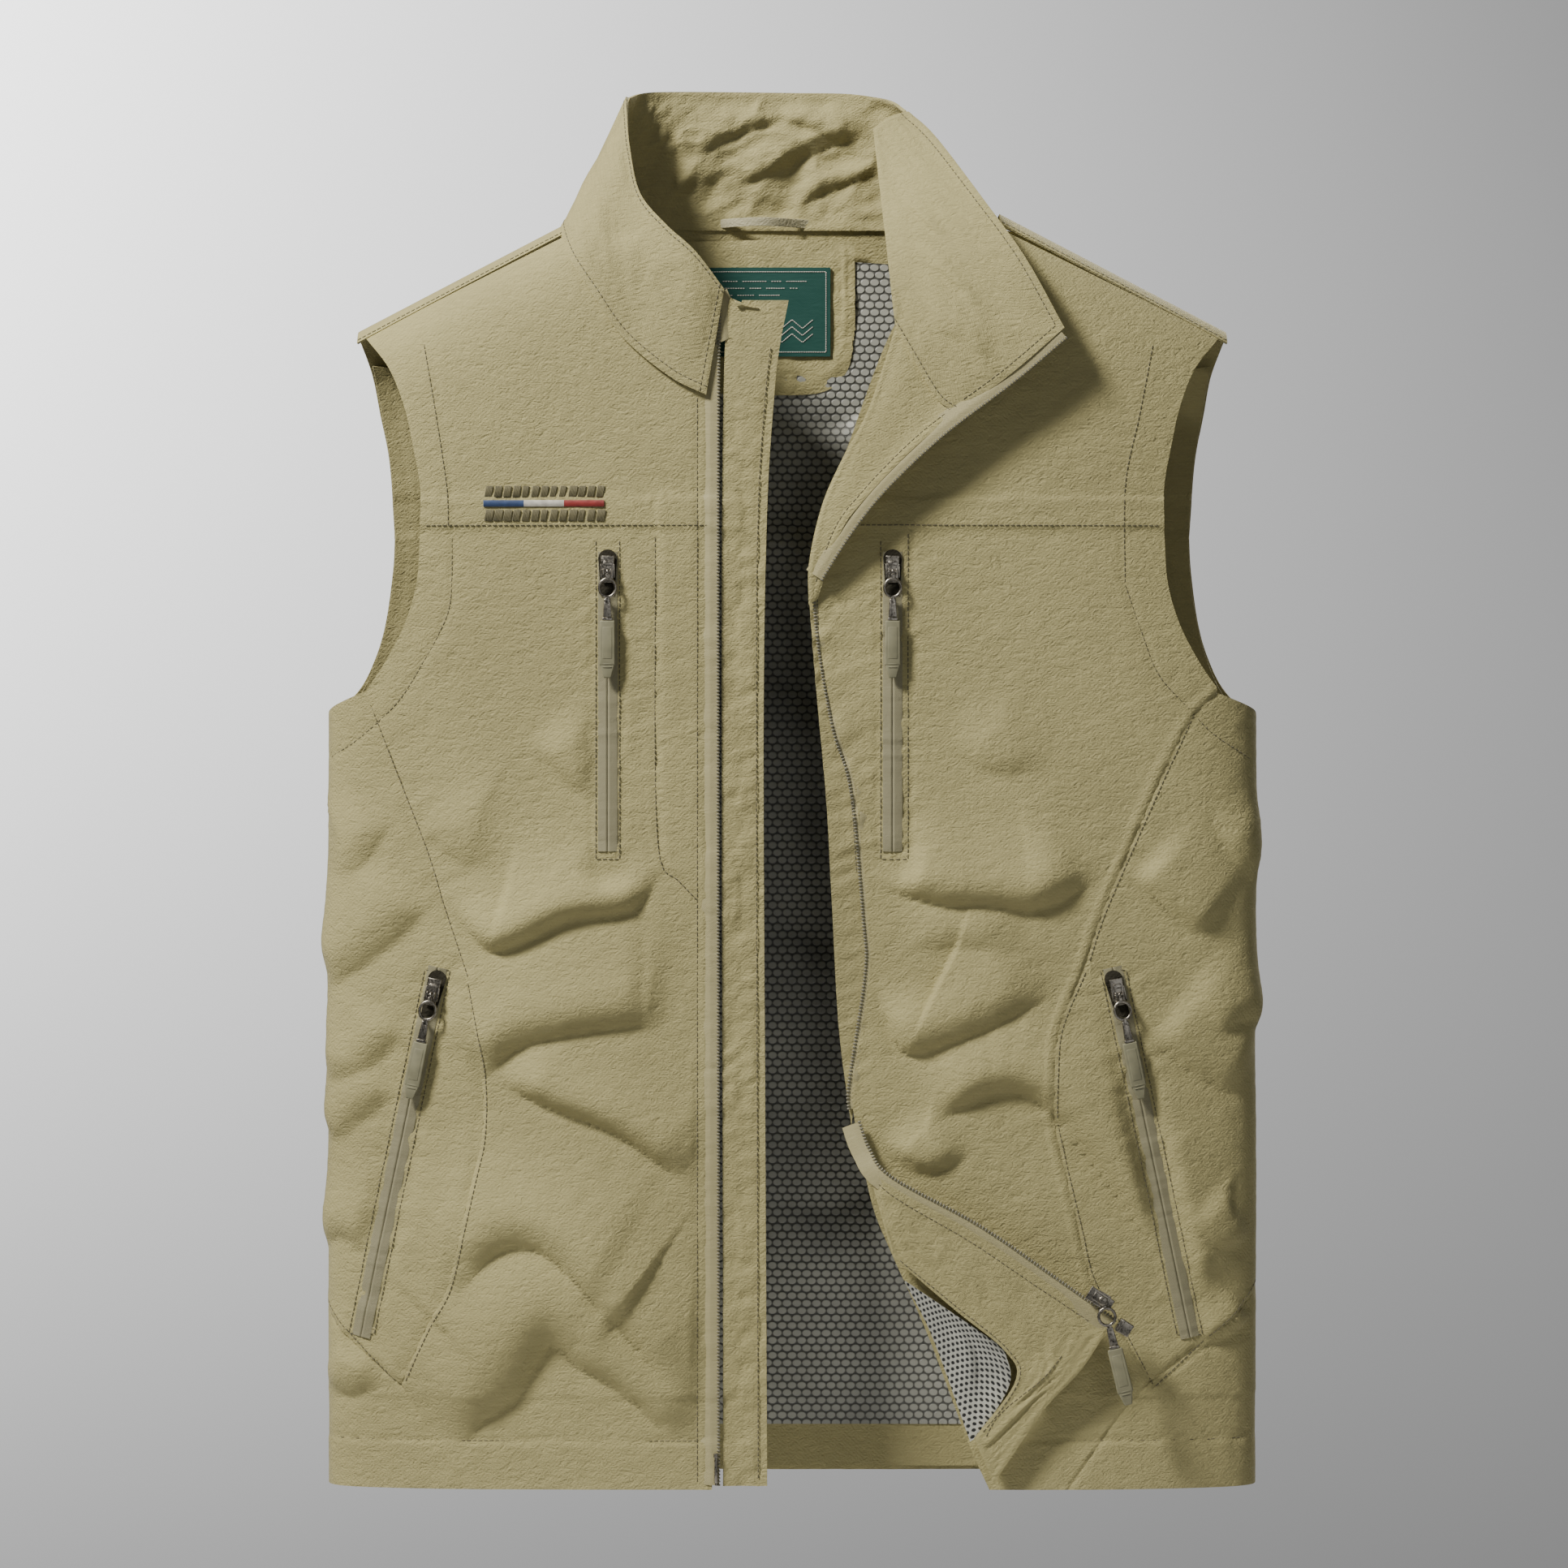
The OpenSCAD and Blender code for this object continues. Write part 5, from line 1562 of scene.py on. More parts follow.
@dataclass
class Collar:
    """The stand collar: its right front, its back and the left stand that the leaf covers."""

    right: FreePanel | None = None

    def build(self) -> None:
        """Build the collar's three standing parts."""
        low = [(-48, -39.8, 611), (-68, -39.8, 621), (-93.5, -39.6, 642), (-111, -38.8, 666.5),
               (-123.5, -33, 686), (-130, -16.5, 705), (-127, 2, 711)]
        high = [(-38, -40.3, 670), (-54, -42, 691), (-70, -39, 706), (-85, -30, 725), (-91, -18, 752),
                (-93, -5, 774), (-93.5, 4, 784)]
        self.right = FreePanel(
            name="collar_front_right", stands_for=("collar_right",), left=high[0:1] + low[0:1],
            right=high[-1:] + low[-1:], bottom=high, top=low, thick=1.8, seed=2, broad=1.6, fine=0.18,
            crumple=0.4, crumple_size=40.0, turned=1.0, bends=True,
            folds=(fold(2.0, 9, (60, 10), (80, 30), (104, 44), ends=0.4),))
        self.right.build()
        back_low = [(-123, 3, 709), (-109, 17, 710), (-79, 30.5, 711.5), (0, 35.6, 712), (79, 30.5, 711.5),
                    (107, 15, 710), (116, 3, 708)]
        back_high = [(-93, 6, 784), (-84, 20, 789), (-60, 30, 791), (0, 34, 791), (35, 32, 790),
                     (55, 22, 785), (64, 9, 777)]
        crush = (fold(3.4, 7, (96, 66), (120, 60), (150, 50), ends=0.3),
                 fold(3.8, 8, (86, 22), (110, 34), (140, 52), (160, 58), ends=0.3),
                 fold(3.0, 6, (130, 16), (150, 26), (176, 38), ends=0.3),
                 fold(3.0, 7, (60, 40), (80, 54), (104, 62), ends=0.3),
                 fold(2.4, 6, (170, 20), (190, 40), (206, 58), ends=0.3),
                 fold(2.4, 6, (40, 60), (52, 40), (58, 16), ends=0.3))
        FreePanel(name="collar_back_stand", stands_for=("collar_back",),
                  left=[back_low[0], back_high[0]], right=[back_low[-1], back_high[-1]], bottom=back_low,
                  top=back_high, thick=1.8, seed=3, broad=1.6, fine=0.25, crumple=2.0, crumple_size=26.0,
                  folds=crush, turned=1.0).build()
        stand_low = [(118, 3, 712), (110, -16, 702), (96, -32.5, 690), (76, -39.2, 669), (60, -40.5, 654)]
        stand_high = [(63, 7, 776), (49, 2, 765), (51, -13, 724), (55, -33, 680), (57, -42.5, 655)]
        FreePanel(name="collar_stand_left", stands_for=("collar_left_stand",), finish=KHAKI_INSIDE_SHADED,
                  left=[stand_low[0], stand_high[0]], right=[stand_low[-1], stand_high[-1]],
                  bottom=stand_low, top=stand_high, seed=4, broad=0.4, edge_rib=0.0).build()


@dataclass
class Shoulders:
    """The forward yokes that wrap over the shoulders' top lines."""

    front_drop: float = 7.5
    back_drop: float = 2.6
    neck_x: float = 117.0
    tip_x: float = 245.0

    def build(self) -> None:
        """Build both yokes and their topstitching."""
        rows = Stitching("shoulder_stitching")
        for side in (-1, 1):
            drops = np.concatenate([-np.linspace(0, 1, 8)[::-1] ** 2 * self.front_drop,
                                    (np.linspace(0, 1, 6) ** 2 * self.back_drop)[1:]])
            x = side * np.linspace(self.neck_x, self.tip_x, 60)
            if side < 0:
                x = x[::-1]
            grid = np.array([self.over(x, d) for d in drops])
            grid += grid_normals(grid) * 0.5
            name = "right" if side < 0 else "left"
            flat = unfold(grid)
            obj = cloth_mesh(f"{name}_shoulder_wrap", FORM.row(grid), flat * MM, 1.2 * MM)
            cloth = Cloth(name=f"{name}_shoulder_wrap", stands_for=(f"shoulder_yoke_{name}",))
            cloth.declare(obj, grid * MM, flat * MM)
            front = self.over(x, -self.front_drop * 0.8)
            away = grid_normals(grid)[1]
            rows.add((front + away * 0.6, away))
        rows.build()

    @staticmethod
    def over(x: np.ndarray, drop: float) -> np.ndarray:
        """Give points on the shoulder at a drop below its top line, negative in front."""
        z = FORM.shoulder_top(x) - abs(drop)
        face = Face.FRONT if drop < 0 else Face.BACK
        return FORM.surface(np.stack([FORM.girth(x), z], -1), face)


# ---- Zips --------------------------------------------------------------------------------


@dataclass
class ZipTape:
    """Zip tape along a route, ribbed where the coil runs under it.

    Its centre lies centre millimetres across the route, to the left of its direction.
    """

    name: str
    stands_for: str
    body: str
    width: float = 11.0
    rise: float = 0.5
    groove: float = 0.55
    rib: float = 0.1
    rib_pitch: float = 1.4
    step: float = 0.7

    def build(self, points: np.ndarray, normals: np.ndarray) -> bpy.types.Object:
        """Build the tape along points whose normals stand away from the cloth."""
        place, frames = paced(points, normals, self.step)
        half = self.width / 2
        cross = np.array([-half, -half * 0.8, -half * 0.42, -1.5, -0.7, -0.22, 0, 0.22, 0.7, 1.5,
                          half * 0.42, half * 0.8, half])
        bell = np.exp(-((np.abs(cross) - 0.9) / 1.1) ** 2)
        height = self.rise + 0.35 * bell - self.groove * np.exp(-((cross / 0.28) ** 2))
        height[[0, -1]] -= 0.35
        walked = lengths(place)
        ribs = self.rib * np.sin(2 * math.pi * walked / self.rib_pitch)
        lift = height[None] + ribs[:, None] * bell[None]
        grid = (place[:, None] + frames[:, 1][:, None] * -cross[None, :, None]
                + frames[:, 2][:, None] * lift[..., None])
        flat = np.stack(np.broadcast_arrays(cross[None] + half, walked[:, None]), -1)
        turned = float(np.sign(np.sum(grid_normals(grid) * frames[:, 2][:, None])))
        obj = cloth_mesh(self.name, FORM.row(grid), flat * MM, 0.7 * MM, turned)
        Cloth(name=self.name, stands_for=(self.stands_for,), finish=TAPE, slot="zip_tape",
              body=self.body, held="stretched").declare(obj, grid * MM, flat * MM)
        return obj


@dataclass
class TapeStrip:
    """Separating zip's tape with its chain of moulded teeth along one edge."""

    name: str
    stands_for: str
    body: str
    teeth: str
    finish: Finish = FRONT_TAPE
    width: float = 10.6
    shown: float = 4.2
    tooth_pitch: float = 1.9
    tooth: tuple[float, float] = (2.3, 0.55)

    def build(self, runs: list[tuple[np.ndarray, np.ndarray, float]]) -> None:
        """Build tape along each run and set the teeth on the side that meets the other tape.

        Half of the tape's width is tucked in under the cloth that it is sewn to.

        Args:
            runs: Points along the shown part's middle, normals away from the cloth, and +1 for
                teeth on the left of the route or -1 for the right.
        """
        grids, flats, places, frames = [], [], [], []
        for points, normals, tooth_side in runs:
            place, frame = paced(points, normals, 1.6)
            cross = np.linspace(self.shown / 2 - self.width, self.shown / 2, 12)
            lift = np.where(cross > -self.shown / 2, 0.55, 0.55 - 0.3 * (-cross - self.shown / 2))
            grid = (place[:, None] + frame[:, 1][:, None] * tooth_side * cross[None, :, None]
                    + frame[:, 2][:, None] * lift[None, :, None])
            grids.append(grid)
            flats.append(np.stack(np.broadcast_arrays(cross[None], lengths(place)[:, None]), -1))
            spot, turn = paced(points, normals, self.tooth_pitch)
            places.append(spot + turn[:, 1] * tooth_side * self.shown * 0.42 + turn[:, 2] * 0.75)
            frames.append(turn[:, [1, 0, 2]] * np.array([1, -1, 1])[None, :, None])
        made = []
        for k, (grid, flat) in enumerate(zip(grids, flats)):
            turned = float(np.sign(np.sum(grid_normals(grid)[..., 1] * -1)))
            made.append(cloth_mesh(f"{self.name}_{k}", FORM.row(grid), flat * MM, 0.7 * MM, turned))
        tape = Bench.merge(made, self.name)
        wear(tape, self.finish)
        settle(tape, self.body)
        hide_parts(self.stands_for)
        verts, faces = capsule(self.tooth[0], self.tooth[1], 0.9)
        teeth = scatter(self.teeth, verts, faces, np.vstack(places), np.vstack(frames))
        wear(teeth, COIL)
        settle(teeth, self.body)


# ---- Metal and rubber, modelled on the bench -----------------------------------------------


class Bench:
    """Modelling steps on one new solid at a time, in millimetres about its own origin."""

    @staticmethod
    def clear() -> None:
        """Deselect everything."""
        bpy.ops.object.select_all(action="DESELECT")

    @staticmethod
    def resize(scale: tuple) -> None:
        """Scale what is selected in the new solid's mesh."""
        bpy.ops.object.mode_set(mode="EDIT")
        bpy.ops.transform.resize(value=scale)
        bpy.ops.object.mode_set(mode="OBJECT")

    @classmethod
    def block(cls, size: tuple, centre: tuple, round_off: float = 0.2, segments: int = 2,
              taper: tuple | None = None) -> bpy.types.Object:
        """Shape a block with rounded edges.

        Args:
            size: Its size along X, Y and Z.
            centre: Its middle.
            round_off: Width of its bevels.
            segments: Segments of its bevels.
            taper: Scale along X and Y of its lower end.

        Returns:
            The new object.
        """
        cls.clear()
        bpy.ops.mesh.primitive_cube_add(size=1, location=centre)
        obj = bpy.context.object
        cls.resize(size)
        if taper:
            cls.pick(obj, lambda co: co[2] < 0)
            cls.resize((*taper, 1))
        cls.soften(obj, round_off, segments)
        return obj

    @staticmethod
    def pick(obj: bpy.types.Object, rule: object) -> None:
        """Select the vertices whose own place passes a rule."""
        for face in obj.data.polygons:
            face.select = False
        for edge in obj.data.edges:
            edge.select = False
        for vertex in obj.data.vertices:
            vertex.select = bool(rule(vertex.co))

    @staticmethod
    def soften(obj: bpy.types.Object, width: float, segments: int = 2) -> None:
        """Bevel the sharp edges and shade smoothly by angle."""
        bpy.context.view_layer.objects.active = obj
        obj.select_set(True)
        bevel = obj.modifiers.new("Rounded", "BEVEL")
        bevel.width, bevel.segments, bevel.limit_method = width, segments, "ANGLE"
        bpy.ops.object.modifier_apply(modifier=bevel.name)
        bpy.ops.object.shade_smooth_by_angle(angle=math.radians(40))

    @classmethod
    def ring(cls, major: float, minor: float, centre: tuple, tilt: tuple = (0, 0, 0),
             stretch: tuple = (1, 1, 1)) -> bpy.types.Object:
        """Shape a wire ring."""
        cls.clear()
        bpy.ops.mesh.primitive_torus_add(location=centre, rotation=tilt, major_radius=major,
                                         minor_radius=minor, major_segments=28, minor_segments=10)
        cls.resize(stretch)
        bpy.ops.object.shade_smooth()
        return bpy.context.object

    @classmethod
    def rod(cls, radius: float, length: float, centre: tuple, tilt: tuple = (0, 0, 0),
            round_off: float = 0.15) -> bpy.types.Object:
        """Shape a short round rod."""
        cls.clear()
        bpy.ops.mesh.primitive_cylinder_add(vertices=20, radius=radius, depth=length, location=centre,
                                            rotation=tilt)
        obj = bpy.context.object
        cls.soften(obj, round_off, 2)
        return obj

    @classmethod
    def merge(cls, parts: list, name: str) -> bpy.types.Object:
        """Join parts into one object with its place in its mesh."""
        cls.clear()
        for part in parts:
            part.select_set(True)
        bpy.context.view_layer.objects.active = parts[0]
        if len(parts) > 1:
            bpy.ops.object.join()
        bpy.ops.object.transform_apply(location=True, rotation=True, scale=True)
        made = bpy.context.object
        made.name = made.data.name = name
        return made


@dataclass(frozen=True)
class Spot:
    """Place of a slider: a point on its zip and how it leans, in the hem's millimetres."""

    at: tuple[float, float, float]
    yaw: float = 0.0
    lean: float = 0.0
    drop: float = 0.0

    def set_down(self, obj: bpy.types.Object) -> None:
        """Put an object from the bench in its place in the frame."""
        turn = (Matrix.Rotation(math.radians(self.yaw), 4, "Z")
                @ Matrix.Rotation(math.radians(self.lean), 4, "Y"))
        place = Matrix.Translation(self.at) @ turn @ Matrix.Translation((0, 0, self.drop))
        origin = Matrix.Translation(FORM.row([0, 0, 0])) @ Matrix.Scale(MM, 4)
        obj.data.transform(origin @ place)
        obj.data.update()


def fit(obj: bpy.types.Object, spot: Spot, body: str, node: str, finish: Finish = NICKEL) -> None:
    """Put a finished piece in its place, dress it, and let it ride its body for its node."""
    spot.set_down(obj)
    wear(obj, finish)
    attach(obj, body)
    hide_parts(node)


@dataclass
class PocketPull:
    """Slider, ring, metal puller and rubber tab of a pocket zip."""

    key: tuple[str, str]
    spot: Spot
    slider_l: float = 11.5
    slider_w: float = 9.0
    pivot_y: float = -3.0
    ring_z: float = -9.0
    tab_l: float = 32.0

    def build(self) -> None:
        """Model the three pieces and hang them on their bodies."""
        slider, pull, tab = ("{}_{}_{}".format(self.key[0], part, self.key[1])
                             for part in ("slider", "pull", "tab"))
        fit(self.slider(), self.spot, slider, slider)
        fit(self.pull(), self.spot, pull, pull)
        fit(self.tab(), self.spot, pull, tab, TAB)
        LOG.info("%s %s: slider, pull and tab", *self.key)

    def slider(self) -> bpy.types.Object:
        """Model the slider: crowned shield plate, side flanges, two ears and the cross pin."""
        half = self.slider_w / 2
        plate = Bench.block((self.slider_w * 0.86, 1.0, self.slider_l + half * 0.8), (0, -0.5, half * 0.35),
                            0.45, 3, taper=(0.8, 1.0))
        crown = Bench.block((self.slider_w * 0.5, 1.1, self.slider_l * 0.86), (0, -1.2, half * 0.3), 0.45, 3,
                            taper=(0.8, 1.0))
        flanges = [Bench.block((0.8, 1.5, self.slider_l * 0.66), (s * half * 0.8, -0.6, 0.6), 0.25)
                   for s in (-1, 1)]
        ears = [Bench.block((1.0, 3.4, 3.4), (s * 2.1, -2.7, 0), 0.4, 3) for s in (-1, 1)]
        pin = Bench.rod(0.6, 5.4, (0, self.pivot_y, 0), (0, math.pi / 2, 0))
        saddle = Bench.block((5.0, 0.9, 2.2), (0, -1.6, 4.6), 0.35)
        return Bench.merge([plate, crown, *flanges, *ears, pin, saddle],
                           f"{self.key[0]}_slider_body_{self.key[1]}")

    def pull(self) -> bpy.types.Object:
        """Model the pull: an eye on the pin, a ring, and a flat waisted puller."""
        y = self.pivot_y
        eye = Bench.ring(1.25, 0.42, (0, y, 0), (0, math.pi / 2, 0), (1.6, 1, 1))
        neck = Bench.block((2.4, 1.3, 3.4), (0, y, -3.0), 0.4, 3)
        ring = Bench.ring(4.6, 0.85, (0, y, self.ring_z), (math.pi / 2, 0, 0), (1, 1.05, 1.1))
        ribs = [Bench.block((0.5, 2.0, 7.0), (s * 1.1, y, -20.5), 0.18) for s in (-1, 1)]
        return Bench.merge([eye, neck, ring, *self.grip(), *ribs],
                           f"{self.key[0]}_pull_metal_{self.key[1]}")

    def grip(self) -> list:
        """Model the flat waisted puller under the ring and the clamp that holds the tab."""
        y = self.pivot_y
        return [Bench.block((3.6, 1.5, 10.5), (0, y, -20.2), 0.5, 3, taper=(1.35, 1.0)),
                Bench.block((2.4, 1.7, 4.0), (0, y, -15.6), 0.5, 3),
                Bench.block((5.6, 2.2, 1.6), (0, y, -26.3), 0.4, 3)]

    def tab(self) -> bpy.types.Object:
        """Model the moulded tab: tapered shoulders, a recessed panel and a folded tip."""
        y = self.pivot_y
        top = -27.2
        body = Bench.block((8.4, 2.3, self.tab_l - 7), (0, y, top - (self.tab_l - 7) / 2), 0.8, 4,
                           taper=(1.06, 1.0))
        panel = Bench.block((5.6, 2.7, self.tab_l - 14), (0, y, top - (self.tab_l - 7) / 2), 0.5, 3)
        tip = Bench.block((8.6, 1.9, 8.4), (0, y, top - self.tab_l + 4.2), 0.7, 4, taper=(0.5, 0.8))
        ribs = [Bench.block((5.0, 2.5, 0.8), (0, y, top - self.tab_l + rise), 0.3)
                for rise in (6.1, 7.8)]
        return Bench.merge([body, panel, tip, *ribs], f"{self.key[0]}_tab_rubber_{self.key[1]}")


@dataclass
class MainPull(PocketPull):
    """Slider of the front zip, on a round post, with its pull hanging beside it."""

    hang: Spot = Spot((0, 0, 0))
    post_top: float = 4.4

    def build(self) -> None:
        """Model the three pieces and hang them on their bodies."""
        fit(self.slider(), self.spot, "main_slider", "main_slider")
        fit(self.pull(), self.hang, "main_pull", "main_pull")
        fit(self.tab(), self.hang, "main_pull", "main_tab", TAB)
        LOG.info("front zip: slider, pull and tab")

    def slider(self) -> bpy.types.Object:
        """Model the slider: shield plate, flanges, and a post with a domed cap."""
        half = self.slider_w / 2
        plate = Bench.block((self.slider_w * 0.9, 1.0, self.slider_l + half * 0.8), (0, -0.5, half * 0.35),
                            0.45, 3, taper=(0.8, 1.0))
        crown = Bench.block((self.slider_w * 0.55, 1.0, self.slider_l * 0.8), (0, -1.1, half * 0.3), 0.4, 3)
        flanges = [Bench.block((0.8, 1.8, self.slider_l * 0.66), (s * half * 0.84, -0.5, 0.6), 0.25)
                   for s in (-1, 1)]
        post = Bench.rod(1.0, self.post_top, (0, -self.post_top / 2, 0), (math.pi / 2, 0, 0))
        cap = Bench.rod(1.9, 0.8, (0, -self.post_top - 0.4, 0), (math.pi / 2, 0, 0), 0.3)
        return Bench.merge([plate, crown, *flanges, post, cap], "front_zip_slider")

    def pull(self) -> bpy.types.Object:
        """Model the pull: an eye round the post, a ring, and the flat puller."""
        y = self.pivot_y
        eye = Bench.ring(1.95, 0.7, (0, y, 0), (math.pi / 2, 0, 0))
        neck = Bench.block((2.2, 1.3, 2.4), (0, y, -3.6), 0.4, 3)
        ring = Bench.ring(4.6, 0.85, (0, y, self.ring_z), (math.pi / 2, 0, 0), (1, 1.05, 1.05))
        return Bench.merge([eye, neck, ring, *self.grip()], "front_zip_pull")

    def tab(self) -> bpy.types.Object:
        """Model the front zip's rubber tab."""
        made = super().tab()
        made.name = made.data.name = "front_zip_tab"
        return made


@dataclass
class Zips:
    """Every zip: the four pocket zips and the separating front zip."""

    chest_y: float = -39.6
    chest_top: float = 518.0

    def build(self) -> None:
        """Build tapes, teeth, sliders and pulls."""
        for side, word, skin in ((-1, "right", RIGHT), (1, "left", LEFT)):
            body = "front_right" if side < 0 else "vest"
            route = flat_route(upright(CHEST_X[side], *CHEST_ZIP))
            ZipTape(f"{word}_chest_tape", f"chest_zip_tape_{word}", body).build(*skin.place(route))
            route = flat_route([hand_zip(side, z) for z in HAND_CALM])
            ZipTape(f"{word}_hand_tape", f"hand_zip_tape_{word}", "vest").build(*skin.place(route))
            PocketPull(("chest", word), Spot((CHEST_X[side], self.chest_y, self.chest_top - 5.75))).build()
            self.mouth(f"{word}_chest_zip_mouth", body, skin, (CHEST_X[side], 525.0), 0.0)
            self.mouth(f"{word}_hand_zip_mouth", "vest", skin, hand_zip(side, HAND_STITCH[1]),
                       side * math.tan(HAND_LEAN))
        PocketPull(("hand", "right"), Spot((-200, -36.8, 282), -8, 11.9, -5.75)).build()
        PocketPull(("hand", "left"), Spot((181, -38, 282), 5, -11.9, -5.75)).build()
        MainPull(("main", ""), Spot((172, -55.1, 107.8), 0, -58.8),
                 hang=Spot((172, -55.1, 107.8), 0, -13.8)).build()
        self.front_zip()

    @staticmethod
    def mouth(name: str, body: str, skin: Skin, top: Pair, lean: float, size: Pair = (10.4, 26.0)) -> None:
        """Build a near-black sheet of painted shade where a pocket's open mouth lies above its slider, under
        the seam.

        Args:
            name: The piece's name.
            body: The body that it rides.
            skin: The cloth that it lies on.
            top: Middle of its rounded top.
            lean: Its drift across for each millimetre down.
            size: Its width and length.
        """
        half, long = size[0] / 2, size[1]
        foot = (top[0] + lean * long, top[1] - long)
        arch = [(top[0] + half * math.cos(a), top[1] - 5 + 5 * math.sin(a))
                for a in np.linspace(math.pi, 0, 9)]
        sill = level(foot[0] - half * 0.75, foot[0] + half * 0.75, foot[1])
        BodyPanel(name=name, stands_for=(), finish=MOUTH_SHADE, slot="pocketing", body=body, skin=skin,
                  under=-1.15, thick=0.4, left=[sill[0], arch[0]], right=[sill[1], arch[-1]],
                  bottom=sill, top=arch, step=1.0).build()

    def front_zip(self) -> None:
        """Build both tapes of the separating zip, with the insert pin and the retaining box."""
        right = flat_route([(-43.2, 2), (-43.2, 612), (-39.5, 640)])
        TapeStrip("right_front_tape", "main_zip_tape_right", "front_right", "right_front_teeth",
                  shown=5.0).build([(*RIGHT.place(right, 0.1), -1.0)])
        lapel = spline([(14.5, -43.5, 508), (29, -48, 531), (44, -51.2, 551), (60, -52.8, 568),
                        (76, -53.4, 583), (91, -53.2, 595.5), (123, -53.2, 619.5), (151.5, -53, 643.5)])
        corner = spline([(35.5, -42, 206), (41.5, -45, 190), (54, -49.8, 174.5), (103, -52, 147.5),
                         (144, -52, 119.5), (178, -52, 95.5)])
        front = flat_route([(x - 0.6, z) for x, z in ZIP_EDGE_LEFT])
        away = np.array([[0.0, -1.0, 0.0]])
        TapeStrip("left_front_tape", "main_zip_tape_left", "vest", "left_front_teeth").build(
            [(lapel, np.repeat(away, len(lapel), 0), -1.0), (*LEFT.place(front, -0.7), 1.0),
             (corner, np.repeat(away, len(corner), 0), 1.0)])
        pin = Bench.rod(1.1, 16, (0, 0, 0), (0, 0, 0), 0.4)
        collar = Bench.rod(1.5, 2.4, (0, 0, 7.4), (0, 0, 0), 0.3)
        tip = Bench.rod(0.8, 2.0, (0, 0, -8.4), (0, 0, 0), 0.3)
        pin = Bench.merge([pin, collar, tip], "zip_insert_pin")
        fit(pin, Spot((-42.5, -FORM.half_depth - 1.6, 12)), "front_right", "insert_pin")
        box = Bench.block((8.6, 2.8, 7.6), (0, 0, 0), 0.7, 3)
        slot = Bench.block((2.0, 3.2, 7.9), (-2.2, 0, 0), 0.5, 3)
        box = Bench.merge([box, slot], "zip_retaining_box")
        fit(box, Spot((184, -53.5, 92.5), 0, 32), "vest", "retaining_box")


# ---- Trims -------------------------------------------------------------------------------


